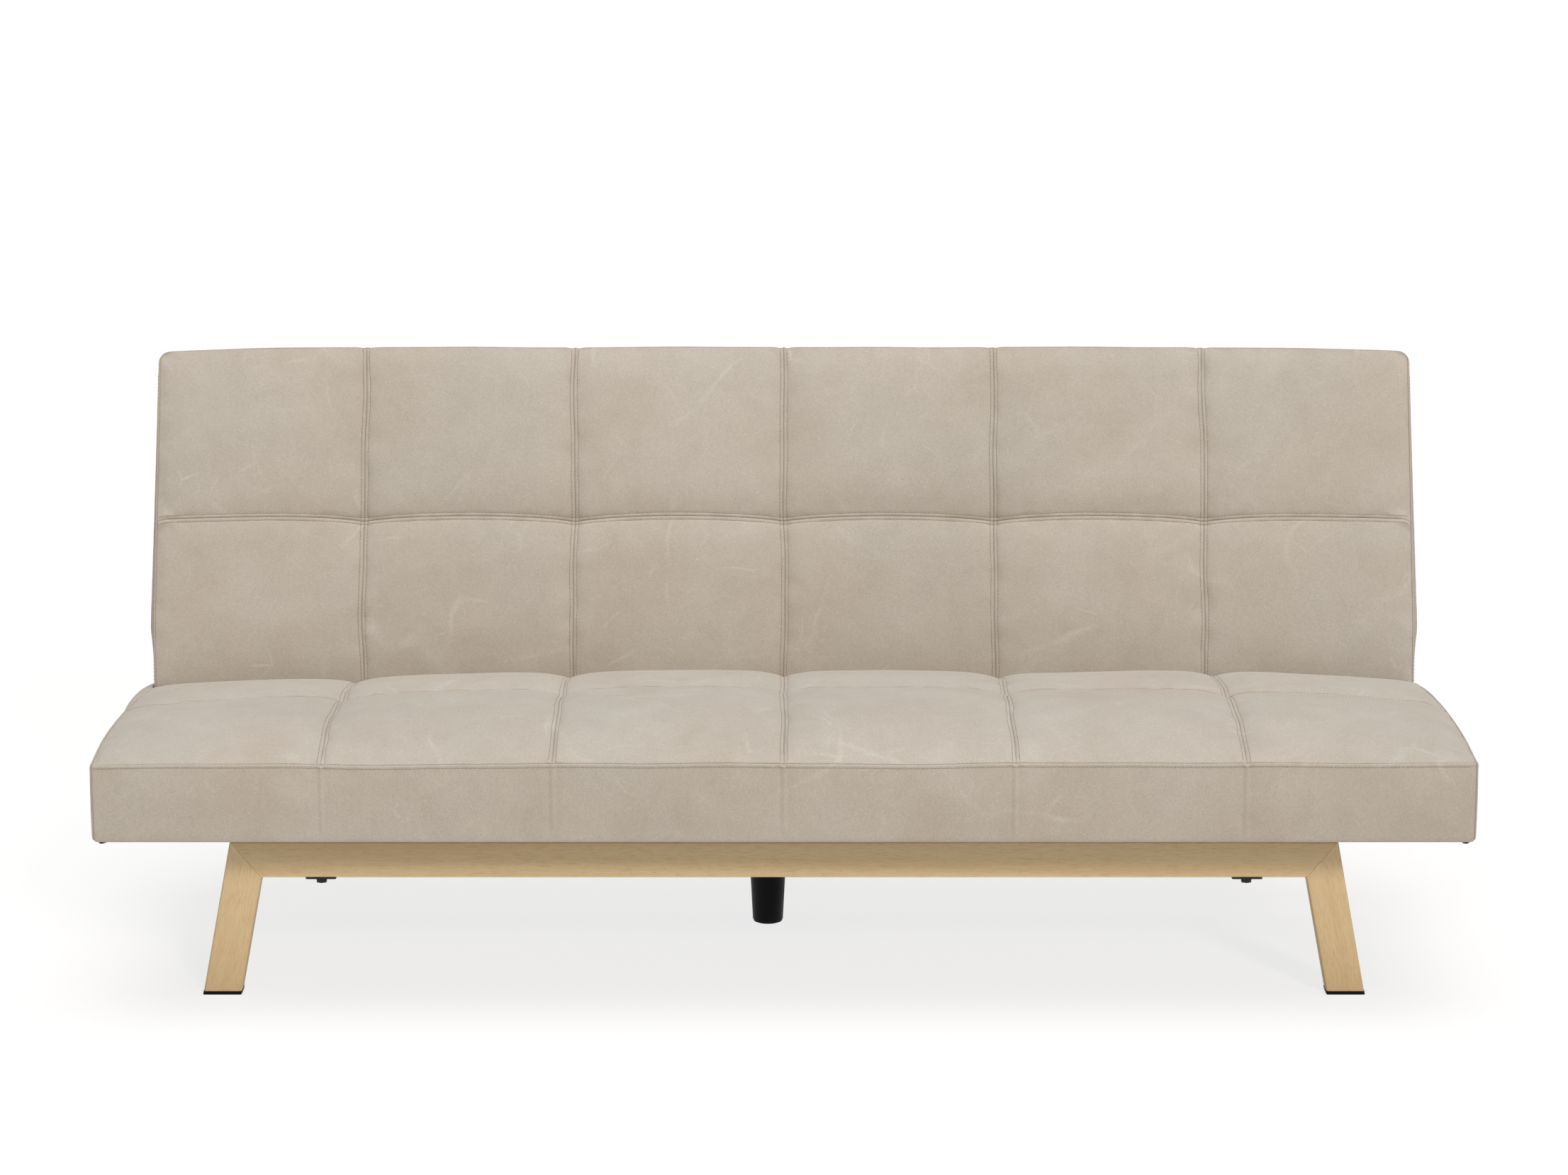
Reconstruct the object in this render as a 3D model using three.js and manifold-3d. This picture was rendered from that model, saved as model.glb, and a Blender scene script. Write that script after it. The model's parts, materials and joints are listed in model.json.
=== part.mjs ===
// Click clack sofa bed: two splayed leg frames, three rails, a sprung seat and a sprung back that folds flat.
// Millimetres. X runs across the sofa, Y from the seat's front to the rear, Z up from the floor.
import * as THREE from 'three';
import { mergeVertices } from 'three/addons/utils/BufferGeometryUtils.js';
import Module from 'manifold-3d';

const wasm = await Module();
wasm.setup();

// Driving dimensions
const fit = { gap: 0.3, overrun: 5, reach: 3000 };
const seat = {
  width: 1800, depth: 553, frontThickness: 105.6, shoulderThickness: 112.6, middleThickness: 103,
  rearThickness: 78, crown: 33, puff: 6.5, frontBulge: 3.5, edgeRadius: 7, rearRadius: 30,
  panels: 6, shoulderShare: 0.22, middleShare: 0.55, crownPower: 2.6, archPower: 3.2, pinchPower: 4,
};
const back = {
  length: 505, thickness: 100, recline: 17.5, crown: 7, puff: 6.5, sideSwell: 9, edgeRadius: 8,
  cornerRadius: 16, topDroop: 7, seamHeight: 255, panels: 6, crownPower: 4, pinchPower: 4, droopPower: 8,
  swellShare: 0.2,
};
const leg = {
  face: 50, depth: 30, wall: 1.5, corner: 3, footOuter: 782, splay: 10.87, barTop: 213,
  frontFace: 150, rearFace: 760, capThickness: 4.5, plugHeight: 22, capLip: 0.6,
};
const rail = { inset: 100, centerPlace: -23, width: 25, height: 37.5, wall: 2, corner: 3, setback: 4 };
const bolt = { diameter: 8, head: 13, headHeight: 5.5, flange: 17, flangeHeight: 1.2, grip: 9 };
const washer = { width: 41, depth: 29, thickness: 2, corner: 3, dome: 1.6, domeDiameter: 26 };
const centerLeg = {
  footDiameter: 43, topDiameter: 64, wall: 3.5, floor: 6, footRadius: 4, bossDiameter: 18, place: 509,
  plateSize: 82, plateThickness: 3, plateCorner: 8, stud: 8, studLength: 28,
};
const tube = { size: 25, wall: 1.5, corner: 3 };
const pocket = { frontWall: 24, rearWall: 17, height: 45, backRim: 14, backDepth: 46 };
const dust = { thickness: 1.2 };
const panel = { thickness: 2.2 };
const spring = { wire: 3.8, swing: 52, pitch: 40, rise: 5 };
const hinge = {
  height: 302, seatGap: 3.7, plate: 4, spacer: 1.4, disc: 27, notch: 5, tooth: 0.42, steps: 5, neck: 24,
  pin: 10, headDiameter: 18, headHeight: 2.2, collar: 16, armLength: 120, cheekWall: 7, backArmLength: 105,
  footWidth: 21,
};
const pawl = { angle: 24, length: 27, eye: 6, stud: 5, lift: 1, nose: 4.5 };
const cover = {
  length: 205, height: 67, lead: 152, drop: 7, reach: 40, wall: 5, rimGap: 0.3, swellGap: 3.4,
};

// Mesh counts
const count = { corner: 2, bolt: 12, lathe: 20, arc: 12, bend: 3, wire: 4, cover: 24, nose: 5 };

// Materials
const oak = new THREE.MeshStandardMaterial({ color: 0xcdb592, roughness: 0.55, metalness: 0 });
const fabric = new THREE.MeshStandardMaterial({ color: 0xbcae9f, roughness: 0.95, metalness: 0 });
const blackSteel = new THREE.MeshStandardMaterial({ color: 0x151515, roughness: 0.45, metalness: 0.7 });
const zincSteel = new THREE.MeshStandardMaterial({ color: 0x9a9c9e, roughness: 0.35, metalness: 0.9 });
const blackPlastic = new THREE.MeshStandardMaterial({ color: 0x0f0f0f, roughness: 0.5, metalness: 0 });
const felt = new THREE.MeshStandardMaterial({ color: 0x2a2a2a, roughness: 1, metalness: 0 });

// Places worked out from the driving dimensions
const radians = THREE.MathUtils.degToRad;
const half = (value) => value / 2;
const halfWidth = half(seat.width);
const pivotY = seat.depth + hinge.seatGap + half(back.thickness);
const railBottom = leg.barTop + fit.gap;
const railTop = railBottom + rail.height;
const seatBottom = railTop + fit.gap;
const splay = radians(leg.splay);
const barMiddle = leg.barTop - half(leg.face);
const restTurn = radians(90 - back.recline);

// Solids, cutting and joining
function solidOf(geometry) {
  const bare = new THREE.BufferGeometry();
  bare.setAttribute('position', geometry.getAttribute('position').clone());
  if (geometry.index) bare.setIndex(geometry.index.clone());
  const merged = mergeVertices(bare);
  const mesh = new wasm.Mesh({
    numProp: 3,
    vertProperties: new Float32Array(merged.getAttribute('position').array),
    triVerts: new Uint32Array(merged.index.array),
  });
  return new wasm.Manifold(mesh);
}

function geometryOf(solid) {
  const mesh = solid.getMesh();
  const geometry = new THREE.BufferGeometry();
  geometry.setAttribute('position', new THREE.BufferAttribute(new Float32Array(mesh.vertProperties), 3));
  geometry.setIndex(new THREE.BufferAttribute(new Uint32Array(mesh.triVerts), 1));
  geometry.computeVertexNormals();
  return geometry;
}

function cut(geometry, ...cutters) {
  let solid = solidOf(geometry);
  for (const cutter of cutters) solid = solid.subtract(solidOf(cutter));
  return geometryOf(solid);
}

function join(geometry, ...others) {
  let solid = solidOf(geometry);
  for (const other of others) solid = solid.add(solidOf(other));
  return geometryOf(solid);
}

function boxBetween(x, y, z) {
  const box = new THREE.BoxGeometry(x[1] - x[0], y[1] - y[0], z[1] - z[0]);
  return box.translate(half(x[0] + x[1]), half(y[0] + y[1]), half(z[0] + z[1]));
}

// A box that fills the side of a plane that its normal points to
function sideOfPlane(point, normal) {
  const box = new THREE.BoxGeometry(fit.reach, fit.reach, fit.reach).translate(0, 0, half(fit.reach));
  const turn = new THREE.Quaternion().setFromUnitVectors(new THREE.Vector3(0, 0, 1), normal);
  return box.applyQuaternion(turn).translate(point.x, point.y, point.z);
}

function roundedRectangle(path, width, height, radius) {
  const x = half(width);
  const y = half(height);
  path.moveTo(x, radius - y);
  path.lineTo(x, y - radius);
  path.absarc(x - radius, y - radius, radius, 0, half(Math.PI), false);
  path.absarc(radius - x, y - radius, radius, half(Math.PI), Math.PI, false);
  path.absarc(radius - x, radius - y, radius, Math.PI, Math.PI * 1.5, false);
  path.absarc(x - radius, radius - y, radius, Math.PI * 1.5, Math.PI * 2, false);
  path.closePath();
  return path;
}

function tubeSection(width, height, wall, corner) {
  const section = roundedRectangle(new THREE.Shape(), width, height, corner);
  const bore = roundedRectangle(new THREE.Path(), width - wall * 2, height - wall * 2, corner - half(wall));
  section.holes.push(bore);
  return section;
}

// An upright prism of a shape, from one height to another
function prism(shape, from, to, curveSegments = count.corner) {
  const options = { depth: to - from, bevelEnabled: false, curveSegments };
  return new THREE.ExtrudeGeometry(shape, options).translate(0, 0, from);
}

// A prism whose shape is drawn in Y and Z, and which runs along X
function prismAcross(shape, from, to, curveSegments) {
  return prism(shape, from, to, curveSegments).rotateX(half(Math.PI)).rotateZ(half(Math.PI));
}

// A prism whose shape is drawn in X and Z, and which runs along Y
function prismBack(shape, from, to, curveSegments) {
  return prism(shape, -to, -from, curveSegments).rotateX(half(Math.PI));
}

function rod(radius, from, to, segments = count.bolt) {
  const cylinder = new THREE.CylinderGeometry(radius, radius, to - from, segments);
  return cylinder.rotateX(half(Math.PI)).translate(0, 0, half(from + to));
}

function rodAcross(radius, from, to, segments) {
  return rod(radius, from, to, segments).rotateY(half(Math.PI));
}

function lathe(profile) {
  const points = profile.map(([radius, height]) => new THREE.Vector2(radius, height));
  return new THREE.LatheGeometry(points, count.lathe).rotateX(half(Math.PI));
}

// A closed skin over loops with equally many points, flat-capped at the first and the last loop
function loft(loops, capPlane) {
  const size = loops[0].length;
  const positions = loops.flatMap((loop) => loop.flatMap((point) => [point.x, point.y, point.z]));
  const index = [];
  for (let row = 0; row + 1 < loops.length; row += 1) {
    for (let i = 0; i < size; i += 1) {
      const a = row * size + i;
      const b = row * size + (i + 1) % size;
      index.push(a, b, b + size, a, b + size, a + size);
    }
  }
  const outline = loops[0].map(capPlane);
  const last = (loops.length - 1) * size;
  const forward = THREE.ShapeUtils.area(outline) > 0;
  for (const [a, b, c] of THREE.ShapeUtils.triangulateShape(outline, [])) {
    const face = forward ? [a, c, b] : [a, b, c];
    index.push(...face);
    index.push(...face.map((corner) => corner + last).reverse());
  }
  const geometry = new THREE.BufferGeometry();
  geometry.setAttribute('position', new THREE.Float32BufferAttribute(positions, 3));
  geometry.setIndex(index);
  return facingOut(geometry);
}

// The same closed skin with its faces turned outward
function facingOut(geometry) {
  const place = geometry.getAttribute('position');
  const corners = geometry.index.array;
  const [a, b, c] = [new THREE.Vector3(), new THREE.Vector3(), new THREE.Vector3()];
  let volume = 0;
  for (let i = 0; i < corners.length; i += 3) {
    a.fromBufferAttribute(place, corners[i]);
    b.fromBufferAttribute(place, corners[i + 1]);
    c.fromBufferAttribute(place, corners[i + 2]);
    volume += a.dot(b.cross(c));
  }
  if (volume < 0) geometry.setIndex(Array.from(corners).reverse());
  return geometry;
}

const model = new THREE.Group();

function add(parent, name, geometry, material, place = [0, 0, 0]) {
  const mesh = new THREE.Mesh(geometry, material);
  mesh.name = name;
  mesh.position.set(...place);
  parent.add(mesh);
  return mesh;
}

const sides = [['left', -1], ['right', 1]];

// Leg frame: a bar and two splayed legs of rectangular tube, mitred, with a cap plugged into each foot
const mitre = half(half(Math.PI) + splay);
const legAxisTop = leg.footOuter - half(leg.face) / Math.cos(splay) - barMiddle * Math.tan(splay);
const railPlace = legAxisTop - rail.inset;

function barGeometry() {
  const section = tubeSection(leg.depth, leg.face, leg.wall, leg.corner);
  const ends = sides.map(([, side]) => {
    const point = new THREE.Vector3(side * (legAxisTop - half(fit.gap) / Math.sin(mitre)), 0, 0);
    return sideOfPlane(point, new THREE.Vector3(side * Math.sin(mitre), 0, -Math.cos(mitre)));
  });
  const holes = sides.map(([, side]) => {
    const radius = half(bolt.diameter) + fit.gap;
    return rod(radius, -leg.face, leg.face).translate(side * railPlace, 0, 0);
  });
  return cut(prismAcross(section, -leg.footOuter, leg.footOuter), ...ends, ...holes);
}

// The leg stands in its own frame: Z along its axis, X across its face, the floor at the axis' foot
function legGeometry(side) {
  const tilt = half(half(Math.PI) - splay);
  const length = barMiddle / Math.cos(splay);
  const top = new THREE.Vector3(0, 0, length - half(fit.gap) / Math.cos(tilt));
  const mitreCut = sideOfPlane(top, new THREE.Vector3(-side * Math.sin(tilt), 0, Math.cos(tilt)));
  const foot = new THREE.Vector3(0, 0, (leg.capThickness + fit.gap) / Math.cos(splay));
  const footCut = sideOfPlane(foot, new THREE.Vector3(-side * Math.sin(splay), 0, -Math.cos(splay)));
  const section = tubeSection(leg.face, leg.depth, leg.wall, leg.corner);
  return cut(prism(section, -leg.face, length + leg.face), mitreCut, footCut);
}

function footGeometry(side) {
  const up = new THREE.Vector3(side * Math.sin(splay), 0, Math.cos(splay));
  const lip = leg.capLip * 2;
  const outline = roundedRectangle(new THREE.Shape(), leg.face + lip, leg.depth + lip, leg.corner);
  const sole = cut(
    prism(outline, -leg.face, leg.face),
    sideOfPlane(up.clone().multiplyScalar(leg.capThickness), up),
    sideOfPlane(new THREE.Vector3(), up.clone().negate()),
  );
  const inset = (leg.wall + fit.gap) * 2;
  const corner = leg.corner - half(leg.wall);
  const plugOutline = roundedRectangle(new THREE.Shape(), leg.face - inset, leg.depth - inset, corner);
  const plug = cut(
    prism(plugOutline, -leg.face, leg.face),
    sideOfPlane(up.clone().multiplyScalar(leg.plugHeight), up),
    sideOfPlane(up.clone().multiplyScalar(half(leg.capThickness)), up.clone().negate()),
  );
  return join(sole, plug);
}

function addLegFrame(name, frontFace) {
  const frame = new THREE.Group();
  frame.position.set(0, frontFace + half(leg.depth), 0);
  model.add(frame);
  add(frame, `${name}_bar`, barGeometry(), oak, [0, 0, barMiddle]);
  for (const [word, side] of sides) {
    const stand = new THREE.Group();
    stand.position.set(side * (leg.footOuter - half(leg.face) / Math.cos(splay)), 0, 0);
    stand.rotation.y = -side * splay;
    frame.add(stand);
    add(stand, `${name}_leg_${word}`, legGeometry(side), oak);
    add(stand, `${name}_foot_${word}`, footGeometry(side), blackPlastic);
  }
}

// Rails over both bars, with the bolts and washer plates that hold the outer ones
const railFront = leg.frontFace + rail.setback;
const railRear = leg.rearFace + leg.depth - rail.setback;
const frameMiddles = [leg.frontFace, leg.rearFace].map((face) => face + half(leg.depth));

function railGeometry() {
  const section = tubeSection(rail.width, rail.height, rail.wall, rail.corner);
  const tubeOnly = prismBack(section, railFront, railRear);
  const radius = half(bolt.diameter) + fit.gap;
  const holes = frameMiddles.map((y) => rod(radius, -rail.height, 0).translate(0, y, 0));
  return cut(tubeOnly, ...holes);
}

function addRails() {
  const middle = railBottom + half(rail.height);
  for (const [word, side] of sides) {
    add(model, `side_rail_${word}`, railGeometry(), blackSteel, [side * railPlace, 0, middle]);
  }
  add(model, 'center_rail', railGeometry(), blackSteel, [rail.centerPlace, 0, middle]);
}

function washerGeometry() {
  const outline = roundedRectangle(new THREE.Shape(), washer.width, washer.depth, washer.corner);
  const plate = prism(outline, -washer.thickness, 0);
  const domeRadius = half(washer.domeDiameter);
  const low = -washer.thickness - washer.dome;
  const dome = lathe([
    [0, low], [half(domeRadius), low], [domeRadius, -washer.thickness], [domeRadius, -half(washer.thickness)],
    [0, -half(washer.thickness)],
  ]);
  return cut(join(plate, dome), rod(half(bolt.diameter) + fit.gap, low - fit.overrun, fit.overrun));
}

function boltGeometry() {
  const seatHeight = washer.thickness + washer.dome + fit.gap * 2;
  const shank = rod(half(bolt.diameter), -seatHeight - half(bolt.flangeHeight), leg.face + bolt.grip);
  const flange = rod(half(bolt.flange), -seatHeight - bolt.flangeHeight, -seatHeight);
  const acrossCorners = bolt.head / Math.cos(Math.PI / 6);
  const low = -seatHeight - bolt.headHeight;
  const head = rod(half(acrossCorners), low, -seatHeight - half(bolt.flangeHeight), 6);
  return join(shank, flange, head);
}

function addRailBolts() {
  const barBottom = leg.barTop - leg.face;
  [['front', frameMiddles[0]], ['rear', frameMiddles[1]]].forEach(([end, y]) => {
    for (const [word, side] of sides) {
      const x = side * railPlace;
      add(model, `${end}_washer_${word}`, washerGeometry(), blackSteel, [x, y, barBottom - fit.gap]);
      add(model, `${end}_bolt_${word}`, boltGeometry(), blackSteel, [x, y, barBottom]);
    }
  });
}

// Centre leg: a hollow tapered moulding on the stud of a plate under the centre rail
function centerLegGeometry(height) {
  const foot = half(centerLeg.footDiameter);
  const top = half(centerLeg.topDiameter);
  const round = centerLeg.footRadius;
  const boss = half(centerLeg.bossDiameter);
  const hole = half(centerLeg.stud) + fit.gap;
  const soft = round * (1 - Math.SQRT1_2);
  const innerFoot = foot - centerLeg.wall;
  const holeFloor = height - centerLeg.studLength - fit.gap * 2;
  return lathe([
    [0, 0], [foot - round, 0], [foot - soft, soft], [foot, round], [top, height], [top - centerLeg.wall, height],
    [innerFoot, centerLeg.floor], [boss, centerLeg.floor], [boss, height], [hole, height], [hole, holeFloor],
    [0, holeFloor],
  ]);
}

function centerPlateGeometry() {
  const size = centerLeg.plateSize;
  const outline = roundedRectangle(new THREE.Shape(), size, size, centerLeg.plateCorner);
  const plate = prism(outline, -centerLeg.plateThickness, 0);
  const stud = rod(half(centerLeg.stud), -centerLeg.plateThickness - centerLeg.studLength,
    -half(centerLeg.plateThickness));
  return join(plate, stud);
}

function addCenterLeg() {
  const plateTop = railBottom - fit.gap;
  const legHeight = plateTop - centerLeg.plateThickness - fit.gap;
  const place = [rail.centerPlace, centerLeg.place];
  add(model, 'center_leg_plate', centerPlateGeometry(), blackSteel, [...place, plateTop]);
  add(model, 'center_leg', centerLegGeometry(legHeight), blackPlastic, [...place, 0]);
}

// Seat frame of square tube in the pocket under the seat cushion, with the dust cover below it
const seatPocketFront = pocket.frontWall;
const seatPocketRear = seat.depth - pocket.rearWall;
const frameBottom = seatBottom + dust.thickness + fit.gap;
const frameMiddle = frameBottom + half(tube.size);
const seatFrameHalf = halfWidth - hinge.cheekWall - fit.gap - hinge.plate - fit.gap;
const beamSection = () => tubeSection(tube.size, tube.size, tube.wall, tube.corner);

function addSeatFrame() {
  const front = seatPocketFront + fit.gap;
  const rear = seatPocketRear - fit.gap;
  const long = prismAcross(beamSection(), -seatFrameHalf, seatFrameHalf);
  add(model, 'seat_frame_front', long, zincSteel, [0, front + half(tube.size), frameMiddle]);
  add(model, 'seat_frame_rear', long.clone(), zincSteel, [0, rear - half(tube.size), frameMiddle]);
  const short = prismBack(beamSection(), front + tube.size + fit.gap, rear - tube.size - fit.gap);
  const edge = seatFrameHalf - half(tube.size);
  const places = [
    ['seat_frame_left', -edge], ['seat_frame_right', edge], ['seat_cross_left', -railPlace],
    ['seat_cross_center', rail.centerPlace], ['seat_cross_right', railPlace],
  ];
  for (const [name, x] of places) add(model, name, short.clone(), zincSteel, [x, 0, frameMiddle]);
  const cloth = boxBetween(
    [fit.gap - seatFrameHalf, seatFrameHalf - fit.gap],
    [seatPocketFront + fit.gap, seatPocketRear - fit.gap],
    [seatBottom, seatBottom + dust.thickness],
  );
  add(model, 'seat_dust_cover', cloth, felt);
}

// Sinuous spring: straight runs across joined by half turns, bowed up along its length
function springGeometry(length) {
  const turns = Math.round(length / spring.pitch);
  const step = length / turns;
  const reach = half(spring.swing) - half(step);
  const points = [];
  for (let i = 0; i < turns; i += 1) {
    const side = i % 2 ? -1 : 1;
    for (let k = 0; k <= count.bend; k += 1) {
      const angle = Math.PI * (k / count.bend - 0.5);
      const along = step * (i + 0.5) + half(step) * Math.sin(angle);
      const across = side * (reach + half(step) * Math.cos(angle));
      const lift = spring.rise * Math.sin(Math.PI * along / length);
      points.push(new THREE.Vector3(across, along, lift));
    }
  }
  return wireAlong(points);
}

// A wire of a few flat sides along a row of points that stays nearly in one plane
function wireAlong(points) {
  const up = new THREE.Vector3(0, 0, 1);
  const radius = half(spring.wire);
  const loops = points.map((point, i) => {
    const before = points[Math.max(i - 1, 0)];
    const after = points[Math.min(i + 1, points.length - 1)];
    const ahead = after.clone().sub(point).normalize();
    const behind = point.clone().sub(before).normalize();
    const along = ahead.clone().add(behind).normalize();
    const stretch = 1 / Math.max(along.dot(i ? behind : ahead), Math.SQRT1_2);
    const across = along.clone().cross(up).normalize();
    const rise = across.clone().cross(along).normalize();
    return Array.from({ length: count.wire }, (_, k) => {
      const angle = Math.PI * 2 * k / count.wire;
      const out = across.clone().multiplyScalar(radius * stretch * Math.cos(angle));
      return out.addScaledVector(rise, radius * Math.sin(angle)).add(point);
    });
  });
  const origin = points[0];
  const ahead = points[1].clone().sub(origin).normalize();
  const across = ahead.clone().cross(up).normalize();
  return loft(loops, (point) => {
    const offset = point.clone().sub(origin);
    return new THREE.Vector2(offset.dot(across), offset.z);
  });
}

function addSeatSprings() {
  const front = seatPocketFront + fit.gap + spring.wire;
  const length = seatPocketRear - fit.gap - spring.wire - front;
  const height = frameBottom + tube.size + fit.gap + half(spring.wire);
  const panelWidth = seat.width / seat.panels;
  for (let i = 0; i < seat.panels; i += 1) {
    const x = panelWidth * (i + 0.5) - halfWidth;
    add(model, `seat_spring_${i + 1}`, springGeometry(length), zincSteel, [x, front, height]);
  }
}

// Cushion forms: columns across the panels and rows along them, close together beside each seam
const columnShares = [0, 0.09, 0.27, 0.5, 0.73, 0.91];
const rowShares = [0, 0.07, 0.2, 0.42, 0.62, 0.82, 0.94];

function columns(width, panels, edgeRadius, cornerRadius) {
  const panelWidth = width / panels;
  const inner = [];
  for (let i = 0; i < panels; i += 1) {
    for (const share of columnShares) inner.push(panelWidth * (i + share) - half(width));
  }
  inner.push(half(width));
  const soft = edgeRadius * (1 - Math.SQRT1_2);
  const fromEnd = [[0, edgeRadius], [soft, soft], [edgeRadius, 0]];
  if (cornerRadius > edgeRadius) fromEnd.push([cornerRadius, 0]);
  const all = inner.slice(1, -1).map((x) => ({ x, inset: 0 }));
  for (const [distance, inset] of fromEnd) {
    all.push({ x: distance - half(width), inset }, { x: half(width) - distance, inset });
  }
  return all.sort((first, second) => first.x - second.x);
}

// Share of a panel's puff at a place, nothing on a seam and full in the middle
const puffShare = (place, power) => 1 - Math.abs(2 * (place - Math.floor(place)) - 1) ** power;
const domeShare = (place, power) => 1 - Math.abs(place) ** power;

const seatEdge = new THREE.SplineCurve([
  new THREE.Vector2(0, seat.frontThickness),
  new THREE.Vector2(seat.depth * seat.shoulderShare, seat.shoulderThickness),
  new THREE.Vector2(seat.depth * seat.middleShare, seat.middleThickness),
  new THREE.Vector2(seat.depth, seat.rearThickness),
]);

function seatThickness(x, share) {
  const edge = seatEdge.getPoint(share).y;
  const across = domeShare(x / halfWidth, seat.crownPower);
  const along = domeShare(2 * share - 1, seat.archPower);
  const panelPuff = puffShare((x + halfWidth) / (seat.width / seat.panels), seat.pinchPower);
  const rowPuff = puffShare(2 * share, seat.pinchPower);
  return edge + along * (seat.crown * across + seat.puff * panelPuff) + seat.puff * rowPuff * across;
}

// Seat section at one place across: bottom, front boxing, crowned top, rounded rear
function seatLoop({ x, inset }) {
  const radius = seat.edgeRadius;
  const panelPuff = puffShare((x + halfWidth) / (seat.width / seat.panels), seat.pinchPower);
  const bulge = seat.frontBulge * half(1 + panelPuff);
  const front = inset;
  const rear = seat.depth - inset;
  const top = (share) => seatThickness(x, share) - inset;
  const points = [
    [rear - radius, inset], [front + radius, inset], [front, inset + radius],
    [front - bulge, half(seat.frontThickness)],
  ];
  const rows = [...rowShares, ...rowShares.map((share) => share + 1)].map((share) => half(share));
  const flatEnd = 1 - seat.rearRadius / seat.depth;
  for (const share of rows) {
    if (share < flatEnd) points.push([front + share * (rear - front), top(share)]);
  }
  const shoulder = top(flatEnd);
  const roundHeight = shoulder - seat.rearRadius;
  for (let k = 0; k <= count.nose; k += 1) {
    const angle = half(Math.PI) * (1 - k / count.nose);
    points.push([
      rear - seat.rearRadius * (1 - Math.cos(angle)), roundHeight + seat.rearRadius * Math.sin(angle),
    ]);
  }
  points.push([rear, inset + radius]);
  return points.map(([y, z]) => new THREE.Vector3(x, y, seatBottom + z));
}

// Arm pockets reach out past the frame to the thin cheek of the cushion
const cheekInner = halfWidth - hinge.cheekWall;

function seatCushionGeometry() {
  const body = loft(columns(seat.width, seat.panels, seat.edgeRadius, seat.edgeRadius).map(seatLoop),
    (point) => new THREE.Vector2(point.y, point.z));
  const low = seatBottom - fit.overrun;
  const main = boxBetween([-seatFrameHalf - fit.gap, seatFrameHalf + fit.gap],
    [seatPocketFront, seatPocketRear], [low, seatBottom + pocket.height]);
  const armFront = pivotY - hinge.armLength - fit.gap;
  const cheeks = sides.map(([, side]) => {
    const x = [side * (seatFrameHalf - tube.size), side * cheekInner].sort((a, b) => a - b);
    return boxBetween(x, [armFront, seat.depth + fit.overrun],
      [low, hinge.height + half(hinge.neck) + fit.gap * 2]);
  });
  return cut(body, main, ...cheeks);
}

function addSeatCushion() {
  add(model, 'seat_cushion', seatCushionGeometry(), fabric);
}

// Back, drawn lying flat: Y runs from the hinge along the back, Z out of its face, the hinge at the origin
const backGroup = new THREE.Group();
backGroup.position.set(0, pivotY, hinge.height);
backGroup.rotation.x = restTurn;
model.add(backGroup);
const backHalf = half(back.thickness);

function backFace(x, along) {
  const share = along / back.length;
  const seamShare = back.seamHeight / back.length;
  const row = share < seamShare ? share / seamShare : 1 + (share - seamShare) / (1 - seamShare);
  const across = domeShare(x / halfWidth, back.crownPower);
  const length = domeShare(2 * share - 1, back.crownPower);
  const panelPuff = puffShare((x + halfWidth) / (seat.width / back.panels), back.pinchPower);
  const rowPuff = puffShare(row, back.pinchPower);
  return backHalf + length * (back.crown * across + back.puff * panelPuff) + back.puff * rowPuff * across;
}

// How far the top end lies below the full length at a place across: a slight droop and a rounded corner
function topDrop(x) {
  const droop = back.topDroop * Math.abs(x / halfWidth) ** back.droopPower;
  const past = Math.max(0, Math.abs(x) - halfWidth + back.cornerRadius);
  return droop + back.cornerRadius - Math.sqrt(Math.max(0, back.cornerRadius ** 2 - past ** 2));
}

function backLoop({ x, inset }) {
  const radius = back.edgeRadius;
  const end = back.length - topDrop(x);
  const rear = inset - backHalf;
  const rows = [
    ...rowShares.map((share) => share * back.seamHeight),
    ...rowShares.map((share) => back.seamHeight + share * (back.length - back.seamHeight)),
  ];
  const rowEnd = back.length - topDrop(halfWidth) - radius;
  const flatRows = rows.filter((y) => y > 0 && y < rowEnd);
  const points = flatRows.map((y) => [y, backFace(x, y) - inset]);
  points.push([end - radius, backFace(x, end - radius) - inset], [end, backHalf - radius - inset]);
  points.push([end, rear + radius], [end - radius, rear]);
  const noseSteps = count.nose * 2;
  for (let k = 0; k <= noseSteps; k += 1) {
    const angle = Math.PI * k / noseSteps;
    points.push([-(backHalf - inset) * Math.sin(angle), -(backHalf - inset) * Math.cos(angle)]);
  }
  return points.map(([y, z]) => {
    const share = Math.max(y, 0) / back.length;
    const swell = back.sideSwell / halfWidth * (1 - share) * Math.min(1, share / back.swellShare);
    return new THREE.Vector3(x * (1 + swell), y, z);
  });
}

const backFrameHalf = seatFrameHalf - hinge.plate - hinge.spacer - fit.gap * 2;
const backPocketStart = pocket.backRim;
const backPocketEnd = back.length - pocket.backRim;
const backFrameLow = panel.thickness + fit.gap * 2 - backHalf;
const noseCut = half(hinge.neck) + fit.gap;

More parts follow.
